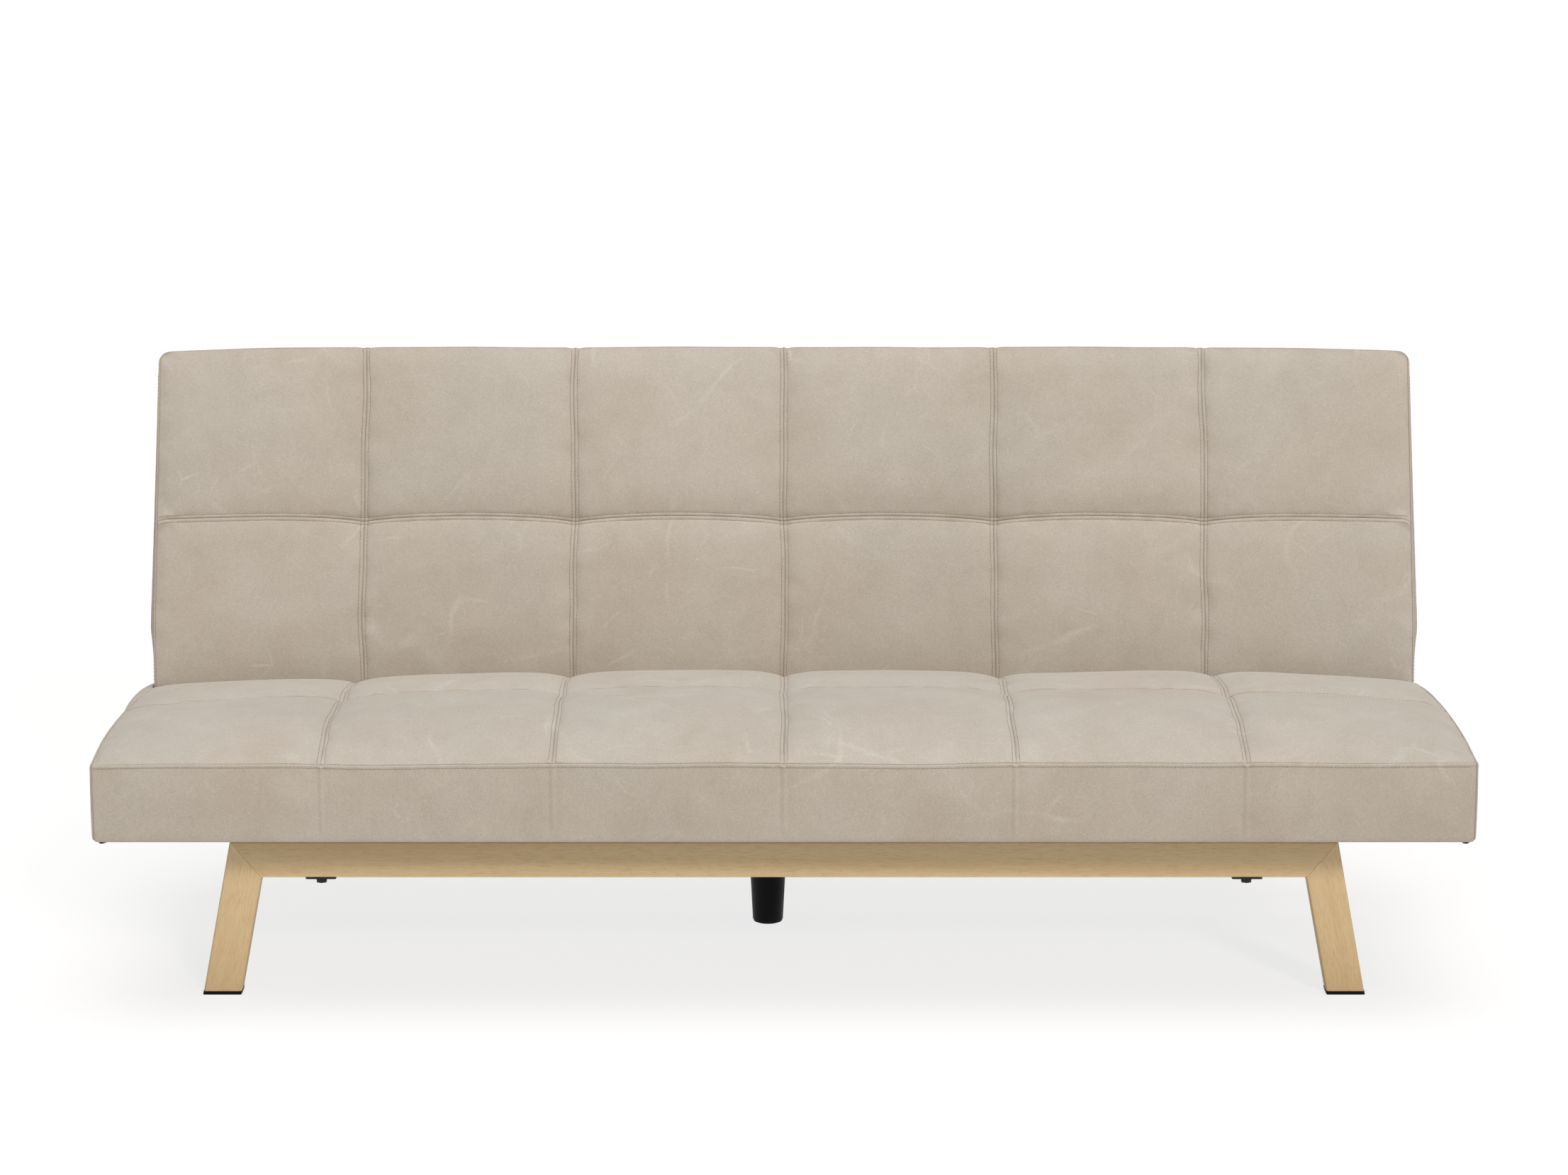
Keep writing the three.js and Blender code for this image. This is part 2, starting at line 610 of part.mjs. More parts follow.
function backCushionGeometry() {
  const body = loft(columns(seat.width, back.panels, back.edgeRadius, back.cornerRadius).map(backLoop),
    (point) => new THREE.Vector2(point.y, point.z));
  const low = -backHalf - fit.overrun;
  const main = boxBetween([-backFrameHalf - fit.gap, backFrameHalf + fit.gap],
    [backPocketStart, backPocketEnd], [low, pocket.backDepth - backHalf]);
  const cutters = [main];
  for (const [, side] of sides) {
    const between = (a, b) => [side * a, side * b].sort((first, second) => first - second);
    const inner = backFrameHalf - hinge.headHeight - fit.gap * 2;
    const armRoom = boxBetween(between(backFrameHalf - tube.size, cheekInner),
      [-fit.overrun, hinge.backArmLength + fit.gap], [low, 0]);
    const pawlRoom = boxBetween(between(inner, cheekInner),
      [-fit.overrun, hinge.disc + pawl.length + pawl.eye], [low, hinge.disc + fit.gap * 2]);
    const hubRadius = (hinge.disc + fit.gap * 2) / Math.cos(Math.PI / count.lathe);
    const hub = rodAcross(hubRadius, ...between(inner, pinEnd + fit.gap * 2), count.lathe);
    const armSlot = boxBetween(between(seatPlateInner - fit.gap, cheekInner),
      [-back.thickness, noseCut], [low, backHalf + fit.overrun]);
    cutters.push(armRoom, pawlRoom, hub, armSlot);
  }
  return cut(body, ...cutters);
}

function addBack() {
  add(backGroup, 'back_cushion', backCushionGeometry(), fabric);
  const middle = backFrameLow + half(tube.size);
  const start = backPocketStart + fit.gap;
  const end = backPocketEnd - fit.gap;
  const long = prismAcross(beamSection(), -backFrameHalf, backFrameHalf);
  add(backGroup, 'back_frame_bottom', long, zincSteel, [0, start + half(tube.size), middle]);
  add(backGroup, 'back_frame_top', long.clone(), zincSteel, [0, end - half(tube.size), middle]);
  const short = prismBack(beamSection(), start + tube.size + fit.gap, end - tube.size - fit.gap);
  const edge = backFrameHalf - half(tube.size);
  for (const [word, side] of sides) {
    add(backGroup, `back_frame_${word}`, short.clone(), zincSteel, [side * edge, 0, middle]);
  }
  const board = boxBetween([fit.gap - backFrameHalf, backFrameHalf - fit.gap], [start, end],
    [fit.gap - backHalf, fit.gap - backHalf + panel.thickness]);
  add(backGroup, 'back_panel', board, felt);
  const springStart = start + spring.wire;
  const springLength = end - spring.wire - springStart;
  const springHeight = backFrameLow + tube.size + fit.gap + half(spring.wire);
  const springs = back.panels - 2;
  const spacing = seat.width / springs;
  for (let i = 0; i < springs; i += 1) {
    const place = [spacing * (i + 0.5) - halfWidth, springStart, springHeight];
    add(backGroup, `back_spring_${i + 1}`, springGeometry(springLength), zincSteel, place);
  }
}

// Click clack hinge, drawn in Y and Z about the pin, with plates stacked outward along X
const backPlateInner = backFrameHalf + fit.gap;
const seatPlateInner = seatFrameHalf + fit.gap;
const pinHeadStart = seatPlateInner + hinge.plate + fit.gap;
const pinEnd = pinHeadStart + hinge.headHeight;
const pawlAngle = radians(pawl.angle);
const stepTurn = restTurn / hinge.steps;

// Toothed disc and the neck that runs from it down to the seat frame's side beam
function seatArmShape() {
  const shape = new THREE.Shape();
  const footLow = frameBottom - hinge.height + half(tube.size - hinge.footWidth);
  const footHigh = footLow + hinge.footWidth;
  const footEnd = -hinge.armLength;
  const neckAngle = Math.asin(half(hinge.neck) / hinge.disc);
  shape.moveTo(footEnd, footLow);
  shape.lineTo(-hinge.disc * 2, footLow);
  shape.lineTo(hinge.disc * Math.cos(Math.PI + neckAngle * 2), hinge.disc * Math.sin(Math.PI + neckAngle * 2));
  const firstNotch = pawlAngle;
  shape.absarc(0, 0, hinge.disc, neckAngle * 2 - Math.PI, firstNotch - half(stepTurn), false);
  for (let i = 0; i <= hinge.steps; i += 1) {
    const middle = firstNotch + i * stepTurn;
    const open = half(stepTurn) * hinge.tooth;
    const root = hinge.disc - hinge.notch;
    for (const [radius, angle] of [[hinge.disc, -open], [root, -half(open)], [root, half(open)],
      [hinge.disc, open]]) {
      shape.lineTo(radius * Math.cos(middle + angle), radius * Math.sin(middle + angle));
    }
    const land = middle + half(stepTurn);
    shape.lineTo(hinge.disc * Math.cos(land), hinge.disc * Math.sin(land));
  }
  const last = firstNotch + (hinge.steps + 0.5) * stepTurn;
  shape.absarc(0, 0, hinge.disc, last, Math.PI - neckAngle, false);
  shape.lineTo(-hinge.disc * 2, footHigh);
  shape.lineTo(footEnd, footHigh);
  shape.closePath();
  return withPinHole(shape);
}

function withPinHole(shape) {
  const hole = new THREE.Path();
  hole.absarc(0, 0, half(hinge.pin) + fit.gap, 0, Math.PI * 2, true);
  shape.holes.push(hole);
  return shape;
}

// Eye round the pin and the strap that runs along the back frame's side beam
function backArmShape() {
  const shape = new THREE.Shape();
  const eye = half(hinge.neck);
  const footLow = backFrameLow + half(tube.size - hinge.footWidth);
  const footHigh = footLow + hinge.footWidth;
  const end = hinge.backArmLength;
  shape.moveTo(0, -eye);
  shape.lineTo(backPocketStart, footLow);
  shape.lineTo(end, footLow);
  shape.lineTo(end, footHigh);
  shape.lineTo(pawlPivot.x + pawl.eye, footHigh);
  shape.absarc(pawlPivot.x, pawlPivot.y, pawl.eye, 0, half(Math.PI) + pawlAngle, false);
  shape.absarc(0, 0, eye, half(Math.PI) + pawlAngle, Math.PI * 1.5, false);
  return withPinHole(shape);
}

const pawlReach = hinge.disc + pawl.lift + pawl.length - pawl.eye;
const pawlPivot = new THREE.Vector2(pawlReach * Math.cos(pawlAngle), pawlReach * Math.sin(pawlAngle));

function pawlShape() {
  const shape = new THREE.Shape();
  const noseEnd = pawl.eye - pawl.length;
  shape.absarc(0, 0, pawl.eye, -half(Math.PI), half(Math.PI), false);
  shape.lineTo(noseEnd + pawl.nose, pawl.nose);
  shape.lineTo(noseEnd, half(pawl.nose) * hinge.tooth);
  shape.lineTo(noseEnd, -half(pawl.nose) * hinge.tooth);
  shape.lineTo(noseEnd + pawl.nose, -pawl.nose);
  shape.closePath();
  const hole = new THREE.Path();
  hole.absarc(0, 0, half(pawl.stud) + fit.gap, 0, Math.PI * 2, true);
  shape.holes.push(hole);
  return shape;
}

function hingePinGeometry() {
  const bore = half(hinge.pin);
  const inner = backPlateInner - fit.gap;
  const collar = [backPlateInner + hinge.plate + fit.gap, seatPlateInner - fit.gap];
  return join(
    rodAcross(bore, inner - hinge.headHeight, pinHeadStart + half(hinge.headHeight)),
    rodAcross(half(hinge.headDiameter), inner - hinge.headHeight, inner),
    rodAcross(half(hinge.headDiameter), pinHeadStart, pinEnd),
    rodAcross(half(hinge.collar), collar[0], collar[1]),
  );
}

function mirrored(geometry, side) {
  if (side > 0) return geometry;
  const turned = geometry.clone().scale(-1, 1, 1);
  if (!turned.index) turned.setIndex(Array.from({ length: turned.getAttribute('position').count }, (_, i) => i));
  return facingOut(turned);
}

function addHinges() {
  const backPlate = join(
    prismAcross(backArmShape(), backPlateInner, backPlateInner + hinge.plate, count.nose),
    rodAcross(half(pawl.stud), backPlateInner + half(hinge.plate), seatPlateInner + hinge.plate)
      .translate(0, pawlPivot.x, pawlPivot.y),
  );
  const seatPlate = prismAcross(seatArmShape(), seatPlateInner, seatPlateInner + hinge.plate, count.arc);
  const pawlPlate = prismAcross(pawlShape(), 0, hinge.plate, count.nose);
  for (const [word, side] of sides) {
    const pin = [0, pivotY, hinge.height];
    add(model, `seat_hinge_arm_${word}`, mirrored(seatPlate, side), blackSteel, pin);
    add(model, `hinge_pin_${word}`, mirrored(hingePinGeometry(), side), zincSteel, pin);
    add(backGroup, `back_hinge_arm_${word}`, mirrored(backPlate, side), blackSteel);
    const lever = add(backGroup, `pawl_${word}`, mirrored(pawlPlate, side), zincSteel);
    lever.position.set(side * seatPlateInner, pawlPivot.x, pawlPivot.y);
    lever.rotation.x = pawlAngle;
  }
}

// Padded cover over each hinge: a domed shell fixed to the seat's side, open towards the hinge
const coverShares = [[0, 1], [0.55, 1], [0.78, 0.95], [0.92, 0.84], [1, 0.66]];

function coverLoops(length, height, from, to) {
  return coverShares.map(([reachShare, sizeShare]) => {
    const x = from + (to - from) * reachShare;
    return Array.from({ length: count.cover }, (_, k) => {
      const angle = Math.PI * 2 * k / count.cover;
      const squareness = 0.7;
      const y = Math.sign(Math.cos(angle)) * Math.abs(Math.cos(angle)) ** squareness;
      const z = Math.sign(Math.sin(angle)) * Math.abs(Math.sin(angle)) ** squareness;
      return new THREE.Vector3(x, half(length) * sizeShare * y, half(height) * sizeShare * z);
    });
  });
}

function coverGeometry() {
  const flat = (point) => new THREE.Vector2(point.y, point.z);
  const from = halfWidth + cover.rimGap;
  const to = halfWidth + cover.reach;
  const outer = loft(coverLoops(cover.length, cover.height, from, to), flat);
  const walls = cover.wall * 2;
  const inner = loft(coverLoops(cover.length - walls, cover.height - walls, from - fit.overrun,
    to - cover.wall), flat);
  const middle = pivotY - cover.lead + half(cover.length);
  const backRoom = boxBetween([0, halfWidth + back.sideSwell + cover.swellGap],
    [seat.depth - middle, cover.length], [-cover.height, cover.height]);
  return cut(outer, inner, backRoom);
}

function addCovers() {
  const shell = coverGeometry();
  const middle = pivotY - cover.lead + half(cover.length);
  for (const [word, side] of sides) {
    const place = [0, middle, hinge.height - cover.drop];
    add(model, `hinge_cover_${word}`, mirrored(shell, side), fabric, place);
  }
}

addLegFrame('front', leg.frontFace);
addLegFrame('rear', leg.rearFace);
addRails();
addRailBolts();
addCenterLeg();
addSeatFrame();
addSeatSprings();
addSeatCushion();
addBack();
addHinges();
addCovers();

// The part's own frame: X and Y in the middle of the whole, Z up from the floor
model.updateMatrixWorld(true);
const extent = new THREE.Box3().setFromObject(model, true);
const sofa = new THREE.Group();
sofa.name = 'click_clack_sofa_bed';
model.position.set(-half(extent.min.x + extent.max.x), -half(extent.min.y + extent.max.y), -extent.min.z);
sofa.add(model);

export default sofa;
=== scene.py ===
"""Click clack sofa bed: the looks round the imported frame, in metres."""
import json
import math

import bmesh
import bpy
import numpy as np
from mathutils import Matrix, Vector
from mathutils.bvhtree import BVHTree
from mathutils.geometry import delaunay_2d_cdt


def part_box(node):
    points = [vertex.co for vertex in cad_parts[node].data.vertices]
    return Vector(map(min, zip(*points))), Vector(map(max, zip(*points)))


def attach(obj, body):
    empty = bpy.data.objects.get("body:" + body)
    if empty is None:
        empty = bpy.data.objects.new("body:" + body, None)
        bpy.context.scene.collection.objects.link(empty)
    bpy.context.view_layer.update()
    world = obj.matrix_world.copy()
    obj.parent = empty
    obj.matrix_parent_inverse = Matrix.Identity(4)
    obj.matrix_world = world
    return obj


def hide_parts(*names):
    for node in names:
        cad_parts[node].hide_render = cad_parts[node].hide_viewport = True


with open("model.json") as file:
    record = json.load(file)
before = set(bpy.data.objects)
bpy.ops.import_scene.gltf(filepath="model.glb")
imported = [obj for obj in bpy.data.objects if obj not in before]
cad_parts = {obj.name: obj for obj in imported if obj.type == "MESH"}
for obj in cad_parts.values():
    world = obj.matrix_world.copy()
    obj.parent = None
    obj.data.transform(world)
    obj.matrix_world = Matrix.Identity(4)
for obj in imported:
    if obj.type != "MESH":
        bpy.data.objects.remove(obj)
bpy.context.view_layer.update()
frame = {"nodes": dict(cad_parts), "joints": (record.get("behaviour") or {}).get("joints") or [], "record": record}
scene = bpy.context.scene

# Places and sizes that come from the frame
SEAT_LOW, SEAT_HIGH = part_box("seat_cushion")
HALF_WIDTH = SEAT_HIGH.x
SEAT_FRONT_BULGE = 0.0035
SEAT_FRONT = SEAT_LOW.y + SEAT_FRONT_BULGE
SEAT_DEPTH = SEAT_HIGH.y - SEAT_FRONT
SEAT_BOTTOM = SEAT_LOW.z
FOLD = next(joint for joint in frame["joints"] if joint["name"] == "back_fold")
PIVOT = Vector(FOLD["pos_m"])
REST_TURN = math.radians(FOLD["range_deg"][1])
BACK_ALONG = Vector((0, math.cos(REST_TURN), math.sin(REST_TURN)))
BACK_OUT = Vector((0, -math.sin(REST_TURN), math.cos(REST_TURN)))
FIT = 0.0003
SEAT_POCKET_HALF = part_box("seat_frame_front")[1].x + FIT
BACK_POCKET_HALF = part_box("back_frame_top")[1].x + FIT
ARM_LOW, ARM_HIGH = (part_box("seat_hinge_arm_right")[k].x for k in (0, 1))

SIDES = (("left", -1), ("right", 1))

# Both cushions
PANELS = 6
PANEL_WIDTH = 2 * HALF_WIDTH / PANELS
PUFF = 0.0085
COLUMN_SHARE = 0.72
ROW_SHARE = 0.55
SEAM_FLAT = 0.006
GROOVE_DEPTH = 0.0012
GROOVE_HALF = 0.0008
WELT = 0.00035
WELT_END = 0.0046
STITCH_LINE = 0.0052
STITCH_DIP = 0.0002
STITCH_DIP_HALF = 0.0012
# How dark the painted shade in the seams' cut lines is
LINE_SHADE = 0.55
# Painted shade beside the seams, where their hollows fall into shade: its depth and its reach
PAINTED_SHADE_BESIDE_SEAMS = 0.035
PAINTED_SHADE_BESIDE_SEAMS_REACH = 0.01
PINCH_REACH = 0.034
PUCKER_START = 0.004
LUMP_HEIGHT = 0.0012
CORNER = 0.003
CHAMFER = 0.3 * CORNER
BOTTOM_CORNER = 0.008
GRID = 0.012
END_SPACING = 0.011
RIM_STEP = 0.003
BULGE_REACH = 0.024

# Seat cushion
SEAT_EDGE = [(0.0, 0.1056), (0.22, 0.1126), (0.55, 0.103), (1.0, 0.078)]
SEAT_BOXING = SEAT_EDGE[0][1] - CORNER
SEAT_CROWN = 0.033
SEAT_REAR_RADIUS = 0.03
SEAT_FACE_END = SEAT_DEPTH - SEAT_REAR_RADIUS
SEAT_POCKET_HEIGHT = 0.045
SEAT_RIMS = (0.024, 0.017)
SEAT_CROSS = SEAT_DEPTH / 2
SEAT_PINCH = 0.005
SEAT_FOLD = 0.0009
FOLD_WAVE = 0.052
FOLD_SHIFT = 0.12
FOLD_REACH = 0.11
SEAT_WAVE = 0.0016
SEAT_WAVE_LENGTH = 0.61
SEAT_WAVE_REACH = 0.05
SEAT_WAVE_ENDS = {"left": -0.0014, "right": 0.0018}
SEAT_LEAN = 0.0018
SEAT_LEAN_WAVE = 0.37
FRONT_PUCKER = (0.0007, 0.027, 0.02)
SEAT_SIDE_BULGE = 0.0025
REAR_LIFTS = {"left": (0.005, 0.55, 0.95), "right": (0.012, 0.4, 0.72)}
REAR_LIFT_SHARE = 0.75

# Back cushion
BACK_LENGTH = 0.505
BACK_HALF = 0.05
BACK_BOXING = 2 * BACK_HALF - CORNER
BACK_CROSS = 0.255
BACK_CROWN = 0.009
BACK_SWELL = 0.009
BACK_SWELL_SHARE = 0.2
BACK_RIM = 0.014
BACK_POCKET_DEPTH = 0.046
BACK_CORNER_RADIUS = 0.016
BACK_DROOP = 0.007
BACK_PINCH = 0.0045
BACK_ARCH = 0.006
BACK_ARCH_REACH = 0.07
BACK_SCALLOP = 0.0012
BACK_WAVE = 0.0007
BACK_WAVE_LENGTH = 0.5
BACK_END_BULGE = 0.0015
BACK_LEAN = 0.0022
BACK_LEAN_WAVE = 0.42
BACK_SIDE_BULGE = 0.002
BACK_BULGE_START = 0.1
CORNER_STEP = 0.006
BACK_ROLL = 0.009
BACK_ROLL_REACH = 0.11
SEAM_SWELL_SHARE = 0.25
ARM_SLOT_TOP = 0.0078

# Thread
STITCH_LENGTH = 0.0038
STITCH_PITCH = 0.0052
STITCH_RADIUS = 0.0004
HOLE_RADIUS = 0.00062

# Camera, solved from the photograph's parallel edges
CAMERA_BACK = 5.303
CAMERA_HEIGHT = 1.674
CAMERA_PITCH = 11.55
CAMERA_LENS = 96.8
SENSOR = 36.0


def linked(name, data):
    """A new object on some data, in the scene."""
    item = bpy.data.objects.new(name, data)
    scene.collection.objects.link(item)
    return item


def camera():
    data = bpy.data.cameras.new("camera")
    data.sensor_width = SENSOR
    data.lens = CAMERA_LENS
    data.clip_end = 100.0
    view = linked("camera", data)
    view.location = (0, SEAT_FRONT - CAMERA_BACK, CAMERA_HEIGHT)
    view.rotation_euler = (math.radians(90 - CAMERA_PITCH), 0, 0)
    scene.camera = view


# Materials


class Nodes:
    """A material's node tree with short calls for the nodes that repeat."""

    def __init__(self, name):
        self.material = bpy.data.materials.new(name)
        self.material.use_nodes = True
        self.tree = self.material.node_tree
        self.shader = self.tree.nodes["Principled BSDF"]

    def add(self, kind, **values):
        node = self.tree.nodes.new(kind)
        for key, value in values.items():
            setattr(node, key, value)
        return node

    def link(self, source, target):
        self.tree.links.new(source, target)

    def feed(self, slot, value):
        """Sets a slot to a number or a colour, or links an output to it."""
        if isinstance(value, (int, float)):
            slot.default_value = value
        elif isinstance(value, tuple):
            slot.default_value = (*value, 1)
        else:
            self.link(value, slot)

    def set(self, **values):
        for key, value in values.items():
            self.shader.inputs[key.replace("_", " ")].default_value = value

    def place(self, stretch=(1, 1, 1), turn=(0, 0, 0)):
        """Object coordinates, turned first and then stretched."""
        vector = self.add("ShaderNodeTexCoord").outputs["Object"]
        for key, value in (("Rotation", turn), ("Scale", stretch)):
            mapping = self.add("ShaderNodeMapping")
            mapping.inputs[key].default_value = value
            self.link(vector, mapping.inputs["Vector"])
            vector = mapping.outputs["Vector"]
        return vector

    def noise(self, where, scale, detail=3.0, roughness=0.5, distortion=0.0):
        node = self.add("ShaderNodeTexNoise")
        node.inputs["Scale"].default_value = scale
        node.inputs["Detail"].default_value = detail
        node.inputs["Roughness"].default_value = roughness
        node.inputs["Distortion"].default_value = distortion
        self.link(where, node.inputs["Vector"])
        return node.outputs["Fac"]

    def ramp(self, value, stops):
        node = self.add("ShaderNodeValToRGB")
        band = node.color_ramp
        while len(band.elements) < len(stops):
            band.elements.new(0.5)
        for element, (position, color) in zip(band.elements, stops):
            element.position = position
            element.color = (*color, 1)
        self.link(value, node.inputs["Fac"])
        return node.outputs["Color"]

    def mix(self, a, b, amount, blend="MIX"):
        node = self.add("ShaderNodeMix", data_type="RGBA", blend_type=blend)
        for slot, value in zip((0, 6, 7), (amount, a, b)):
            self.feed(node.inputs[slot], value)
        return node.outputs[2]

    def scaled(self, value, low, high, floor=0.0, ceiling=1.0):
        node = self.add("ShaderNodeMapRange")
        for key, number in (("From Min", low), ("From Max", high), ("To Min", floor), ("To Max", ceiling)):
            node.inputs[key].default_value = number
        self.link(value, node.inputs["Value"])
        return node.outputs["Result"]

    def math(self, operation, a, b):
        node = self.add("ShaderNodeMath", operation=operation)
        for slot, value in zip(node.inputs, (a, b)):
            self.feed(slot, value)
        return node.outputs[0]

    def attribute(self, name):
        return self.add("ShaderNodeAttribute", attribute_name=name).outputs["Fac"]

    def bump(self, height, distance, strength=1.0, after=None):
        node = self.add("ShaderNodeBump")
        node.inputs["Strength"].default_value = strength
        node.inputs["Distance"].default_value = distance
        self.link(height, node.inputs["Height"])
        if after is not None:
            self.link(after, node.inputs["Normal"])
        return node.outputs["Normal"]

    def color(self, value):
        self.link(value, self.shader.inputs["Base Color"])

    def normal(self, value):
        self.link(value, self.shader.inputs["Normal"])

    def rough(self, value, low, high):
        self.link(self.scaled(value, 0.3, 0.7, low, high), self.shader.inputs["Roughness"])

    def tinted(self, tone, value, stops):
        """A tone times a ramp along a pattern."""
        return self.mix(tone, self.ramp(value, stops), 1.0, "MULTIPLY")


def linear(*srgb):
    """The linear colour of an sRGB one given as 0 to 255."""
    shares = [value / 255 for value in srgb]
    return tuple(c / 12.92 if c <= 0.04045 else ((c + 0.055) / 1.055) ** 2.4 for c in shares)


FABRIC_PALE = linear(198, 189, 177)
FABRIC_WARM = linear(193, 181, 167)
FABRIC_COOL = linear(191, 184, 172)
FABRIC_SCUFF = linear(213, 206, 196)
# Colour of the painted shade in the seams' cut lines and beside the seams
SEAM_SHADE = linear(112, 93, 76)
THREAD = linear(177, 163, 146)
# Colour of the needle holes: painted shade inside each hole
NEEDLE_HOLE_SHADE = linear(120, 102, 85)
OAK_PALE = linear(249, 222, 176)
OAK_MID = linear(241, 210, 161)
OAK_DEEP = linear(218, 183, 132)
OAK_PORE = linear(180, 144, 98)
CREASES = ((5.0, 0.022, 9.0, 0.52), (11.0, 0.034, 17.0, 0.56))
CREASE_FADE = 0.16
OAK_STRETCH_SHARES = (0.035, 0.075, 0.12)
BRUSHED_STOPS = [(0.32, (0.955, 0.95, 0.94)), (0.5, (0.99, 0.99, 0.99)), (0.7, (1.03, 1.03, 1.03))]
GRAIN_STOPS = [(0.3, (0.9, 0.89, 0.875)), (0.7, (1.07, 1.07, 1.07))]
WEAVE_STOPS = [(0.42, (0.88, 0.875, 0.87)), (0.72, (1.06, 1.06, 1.06))]


def fabric(name, shade=1.0):
    """Washed canvas: clouds of colour, pale creases from wear, a tight weave."""
    nodes = Nodes(name)
    where = nodes.place()
    clouds = nodes.noise(where, 5.5, 4.0, 0.55, 0.4)
    drift = nodes.noise(nodes.place(turn=(0.4, 0.9, 0.2)), 3.2, 3.0, 0.5, 0.3)
    patches = nodes.noise(where, 21.0, 5.0, 0.62, 0.5)
    tone = nodes.mix(FABRIC_WARM, FABRIC_PALE, nodes.scaled(clouds, 0.34, 0.64))
    tone = nodes.mix(tone, FABRIC_COOL, nodes.scaled(drift, 0.42, 0.66, 0.0, 0.55))
    tone = nodes.tinted(tone, patches, BRUSHED_STOPS)
    bend = nodes.add("ShaderNodeVectorMath", operation="ADD")
    wobble = nodes.add("ShaderNodeTexNoise")
    wobble.inputs["Scale"].default_value = 9.0
    stretch = nodes.add("ShaderNodeVectorMath", operation="SCALE")
    stretch.inputs["Scale"].default_value = 0.05
    nodes.link(where, wobble.inputs["Vector"])
    nodes.link(wobble.outputs["Color"], stretch.inputs[0])
    nodes.link(where, bend.inputs[0])
    nodes.link(stretch.outputs["Vector"], bend.inputs[1])
    creases = None
    for scale, width, fade, start in CREASES:
        cells = nodes.add("ShaderNodeTexVoronoi", feature="DISTANCE_TO_EDGE")
        cells.inputs["Scale"].default_value = scale
        nodes.link(bend.outputs["Vector"], cells.inputs["Vector"])
        line = nodes.scaled(cells.outputs["Distance"], 0.0, width, 1.0, 0.0)
        shown = nodes.scaled(nodes.noise(where, fade, 3.0, 0.6), start, start + CREASE_FADE)
        both = nodes.math("MULTIPLY", line, shown)
        creases = both if creases is None else nodes.math("MAXIMUM", creases, both)
    tone = nodes.mix(tone, FABRIC_SCUFF, nodes.math("MULTIPLY", creases, 0.5))
    threads_across = nodes.noise(nodes.place((0.16, 1.0, 1.0)), 1500.0, 2.0, 0.6)
    threads_along = nodes.noise(nodes.place((1.0, 0.16, 0.16)), 1500.0, 2.0, 0.6)
    weave = nodes.math("MAXIMUM", threads_across, threads_along)
    grain = nodes.noise(where, 620.0, 3.0, 0.7)
    tone = nodes.tinted(tone, grain, GRAIN_STOPS)
    tone = nodes.tinted(tone, weave, WEAVE_STOPS)
    specks = nodes.noise(where, 480.0, 1.0)
    tone = nodes.mix(tone, FABRIC_SCUFF, nodes.scaled(specks, 0.72, 0.76, 0.0, 0.7))
    # Painted shade in the seams' cut lines and beside the seams, read from the covers' shade attribute
    tone = nodes.mix(tone, SEAM_SHADE, nodes.attribute("shade"))
    if shade != 1.0:
        tone = nodes.mix(tone, (shade, shade, shade), 1.0, "MULTIPLY")
    nodes.color(tone)
    nodes.set(Roughness=0.93, Sheen_Weight=0.12, Sheen_Roughness=0.5, Specular_IOR_Level=0.15)
    soft = nodes.bump(nodes.noise(where, 60.0, 4.0, 0.6, 0.6), 0.003, 0.18)
    worn = nodes.bump(creases, 0.0006, 0.5, soft)
    nodes.normal(nodes.bump(weave, 0.0005, 0.5, worn))
    return nodes.material


def plain_thread(name, color, roughness):
    nodes = Nodes(name)
    twist = nodes.noise(nodes.place(), 1400.0, 2.0)
    darker = tuple(value * 0.8 for value in color)
    nodes.color(nodes.mix(darker, color, nodes.scaled(twist, 0.35, 0.7)))
    nodes.set(Roughness=roughness, Specular_IOR_Level=0.2)
    nodes.normal(nodes.bump(twist, 0.0004, 0.5))
    return nodes.material


def oak(name, turn):
    """Straight oak grain along local X once turned."""
    nodes = Nodes(name)
    along, streaks, short = [nodes.place((share, 1.0, 1.0), (0, turn, 0)) for share in OAK_STRETCH_SHARES]
    bands = nodes.noise(along, 45.0, 3.0, 0.55, 0.4)
    fine = nodes.noise(streaks, 600.0, 4.0, 0.7, 0.25)
    pores = nodes.noise(short, 850.0, 3.0, 0.6, 0.2)
    flecks = nodes.noise(short, 170.0, 4.0, 0.6, 0.8)
    tone = nodes.mix(OAK_MID, OAK_PALE, nodes.scaled(bands, 0.35, 0.65))
    tone = nodes.mix(tone, OAK_DEEP, nodes.scaled(fine, 0.47, 0.66, 0.0, 0.5))
    tone = nodes.mix(tone, OAK_PORE, nodes.scaled(pores, 0.6, 0.74, 0.0, 0.4))
    tone = nodes.mix(tone, OAK_PALE, nodes.scaled(flecks, 0.54, 0.7, 0.0, 0.5))
    nodes.color(tone)
    nodes.rough(fine, 0.44, 0.6)
    nodes.set(Specular_IOR_Level=0.35)
    nodes.normal(nodes.bump(fine, 0.0004, 0.35))
    return nodes.material


def black_steel():
    nodes = Nodes("black_steel")
    skin = nodes.noise(nodes.place(), 420.0, 3.0, 0.6)
    nodes.color(nodes.mix((0.004, 0.004, 0.004), (0.011, 0.011, 0.011), nodes.scaled(skin, 0.35, 0.65)))
    nodes.rough(skin, 0.34, 0.5)
    nodes.set(Specular_IOR_Level=0.35)
    nodes.normal(nodes.bump(skin, 0.0002, 0.4))
    return nodes.material


def black_plastic():
    nodes = Nodes("black_plastic")
    where = nodes.place()
    skin = nodes.noise(where, 1500.0, 2.0, 0.5)
    cloud = nodes.noise(where, 30.0, 2.0, 0.5)
    nodes.color(nodes.mix((0.0015, 0.0015, 0.0015), (0.004, 0.004, 0.004), nodes.scaled(cloud, 0.35, 0.65)))
    nodes.rough(cloud, 0.42, 0.55)
    nodes.set(Specular_IOR_Level=0.12)
    nodes.normal(nodes.bump(skin, 0.00015, 0.5))
    return nodes.material


